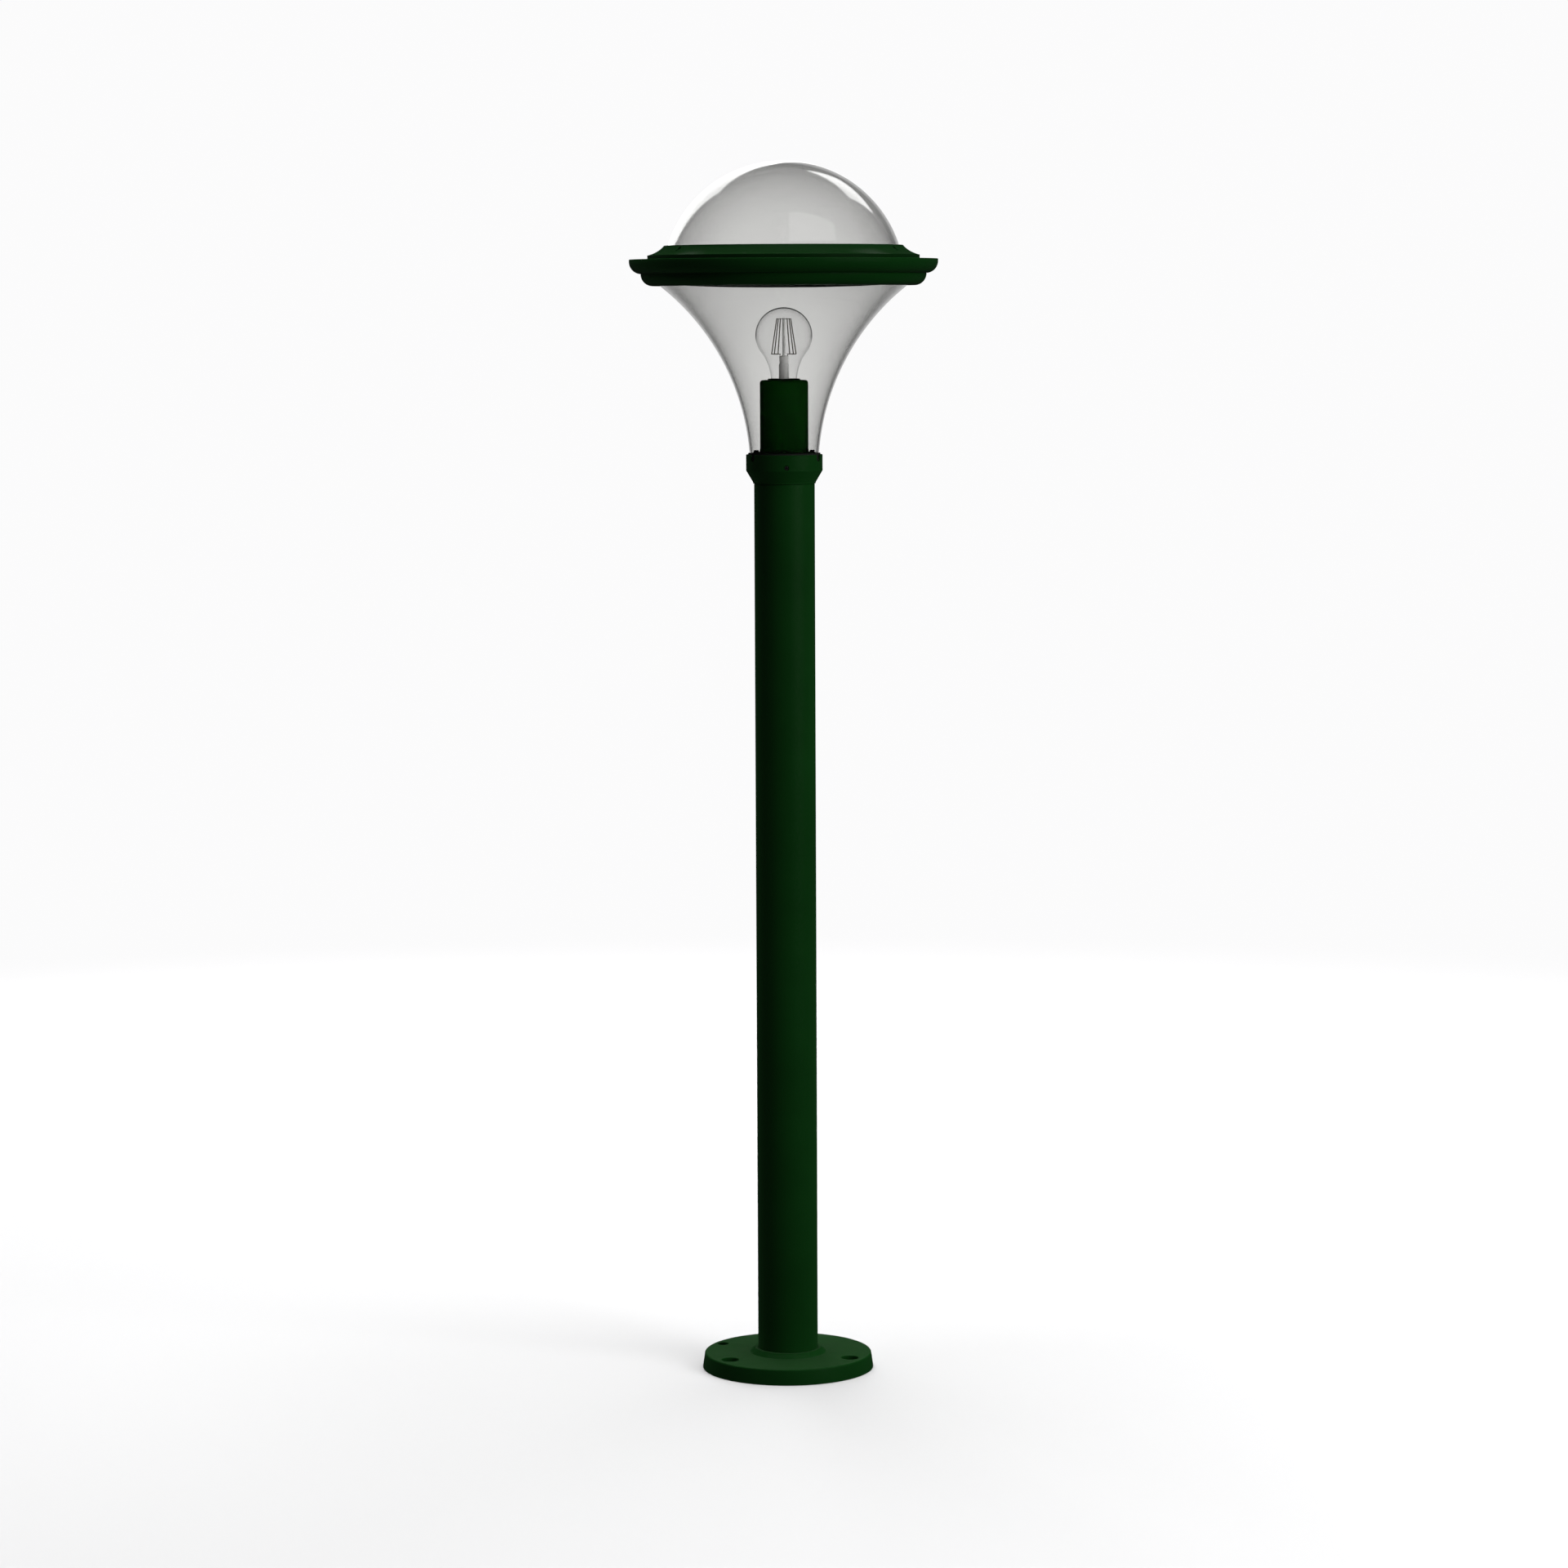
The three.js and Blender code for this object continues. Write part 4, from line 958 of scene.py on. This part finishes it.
floor_mesh = bmesh.new()
bmesh.ops.create_grid(floor_mesh, x_segments=2, y_segments=2, size=9000)
floor = piece_of("studio_floor", floor_mesh)
floor_paint = bpy.data.materials.new("studio_floor")
floor_paint.use_nodes = True
floor_tree = floor_paint.node_tree
floor_shader = floor_tree.nodes["Principled BSDF"]
floor_shader.inputs["Base Color"].default_value = (0.674, 0.674, 0.677, 1)
floor_shader.inputs["Roughness"].default_value = 0.9
floor_shader.inputs["Specular IOR Level"].default_value = 0.0
floor_place = node(floor_tree, "ShaderNodeTexCoord").outputs["Object"]
floor_far = node(floor_tree, "ShaderNodeVectorMath", floor_place, operation="LENGTH")
fade_start, fade_end = 1.2, 3.2
floor_tree.links.new(
    ramp(floor_tree, floor_far.outputs["Value"], fade_start, fade_end, 1.0, 0.0, "SMOOTHSTEP"),
    floor_shader.inputs["Alpha"])
floor.data.materials.append(floor_paint)
floor.visible_diffuse = False
floor.visible_glossy = False
floor.visible_transmission = False

world = bpy.data.worlds.new("studio")
bpy.context.scene.world = world
world.use_nodes = True
sky = world.node_tree
sky.nodes.clear()
way = node(sky, "ShaderNodeTexCoord").outputs["Generated"]


def towards(bearing, rise):
    """The direction at a bearing clockwise from straight behind the lamp, so far above level."""
    b, r = math.radians(bearing), math.radians(rise)
    return Vector((math.sin(b) * math.cos(r), math.cos(b) * math.cos(r), math.sin(r)))


def nearness(direction):
    """The cosine of the angle between a direction and the way a ray leaves."""
    return node(sky, "ShaderNodeVectorMath", way, direction,
                operation="DOT_PRODUCT").outputs["Value"]


def white_board(strength, soft, *corners):
    """A lit board seen only in the polished surfaces, its straight edges given by its corners in
    order and softened over some degrees."""
    spots = [towards(*corner) for corner in corners]
    middle = sum(spots, Vector())
    inside = strength
    for here, there in zip(spots, spots[1:] + spots[:1]):
        inwards = here.cross(there).normalized()
        if inwards.dot(middle) < 0:
            inwards.negate()
        edge = ramp(sky, nearness(inwards), 0.0, math.radians(soft), 0.0, 1.0, "SMOOTHSTEP")
        inside = maths(sky, "MULTIPLY", inside, edge)
    return inside


def background(strength, colour=(1, 1, 1, 1)):
    """A background shader."""
    return node(sky, "ShaderNodeBackground", colour, strength).outputs["Background"]


def either(first, second, choice):
    """One background shader or another."""
    return node(sky, "ShaderNodeMixShader", choice, first, second).outputs["Shader"]


def after(bounces, count):
    """One for a ray that has had more bounces of a kind than a count, and nought for the rest."""
    return ramp(sky, ray[f"{bounces} Depth"], count + 0.4, count + 0.6, 0, 1)


parts = node(sky, "ShaderNodeSeparateXYZ", way).outputs
straight_behind = nearness(towards(3.3, 0))
outer_reflection = ramp(sky, straight_behind, 0.8, 1.0, 0.004, 0.62, "SMOOTHSTEP")
for board in (
    white_board(2.1, 1, (-32.0, 39.4), (-8.5, 34), (1.5, 28), (5.6, 17), (6.2, 0), (-37.0, 0)),
    white_board(2.5, 1, (12.2, 40.7), (47.6, 42), (41.6, 24.5), (20.3, 28.5)),
    white_board(0.75, 3, (173.9, 71.8), (107.1, 48.6), (125, 28), (179.5, 28)),
):
    outer_reflection = maths(sky, "MAXIMUM", outer_reflection, board)
inner_reflection = maths(
    sky, "MULTIPLY", ramp(sky, straight_behind, 0.7, 0.95, 0.01, 0.968, "SMOOTHSTEP"),
    ramp(sky, parts["Z"], -0.09, 0.0, 1.0, 0.01, "SMOOTHSTEP"))

# What a ray meets out there depends on what it has done: white for the lens and what it sees
# through clear walls, the boards for polished faces, and little light for brushed and matt ones.
ray = node(sky, "ShaderNodeLightPath").outputs
dim = background(0.01)
from_the_right = ramp(sky, parts["X"], -0.7, 0.7, 0.25, 2.1, "SMOOTHSTEP")
mirrored = either(background(outer_reflection), background(inner_reflection),
                  after("Transmission", 2))
glossy = either(dim, mirrored, ray["Is Singular Ray"])
plain = either(background(1.0, (0.968, 0.966, 0.97, 1)), glossy, after("Glossy", 0))
scattered = either(dim, background(from_the_right), after("Transmission", 0))
node(sky, "ShaderNodeOutputWorld", Surface=either(plain, scattered, after("Diffuse", 0)))


def softbox(name, place, aim, width, height, power):
    """A rectangular soft light at a place in metres, aimed at a point."""
    lamp = bpy.data.lights.new(name, "AREA")
    lamp.shape = "RECTANGLE"
    lamp.size = width
    lamp.size_y = height
    lamp.energy = power
    box = bpy.data.objects.new(name, lamp)
    box.location = place
    box.rotation_euler = (Vector(aim) - Vector(place)).to_track_quat("-Z", "Y").to_euler()
    box.visible_glossy = False
    box.visible_transmission = False
    bpy.context.scene.collection.objects.link(box)


softbox("overhead_softbox", (0.0, 1.0, 4.9), (0, 0, 0.2), 3.8, 3.8, 330)
softbox("right_softbox", (2.7, -2.3, 1.9), (0, 0, 0.7), 2.2, 2.6, 105)
softbox("rear_softbox", (-0.7, 3.4, 1.7), (0, 0, 0.8), 1.2, 2.0, 40)

lens = bpy.data.cameras.new("studio_camera")
lens.lens = 104.754
lens.sensor_width = 36
lens.clip_end = 100
camera = bpy.data.objects.new("studio_camera", lens)
yaw = math.radians(3.279)
pitch = math.radians(5.988)
roll = math.radians(-0.245)
ahead = Vector((math.sin(yaw) * math.cos(pitch), math.cos(yaw) * math.cos(pitch), -math.sin(pitch)))
level = ahead.cross(Vector((0, 0, 1))).normalized()
above = level.cross(ahead)
side = math.cos(roll) * level + math.sin(roll) * above
up = -math.sin(roll) * level + math.cos(roll) * above
standing = Matrix((side, up, -ahead)).transposed().to_4x4()
standing.translation = Vector((-0.26010, -4.51040, 1.06426))
camera.matrix_world = standing
bpy.context.scene.collection.objects.link(camera)
bpy.context.scene.camera = camera
bpy.context.scene.view_settings.view_transform = "Standard"
bpy.context.scene.view_settings.look = "None"
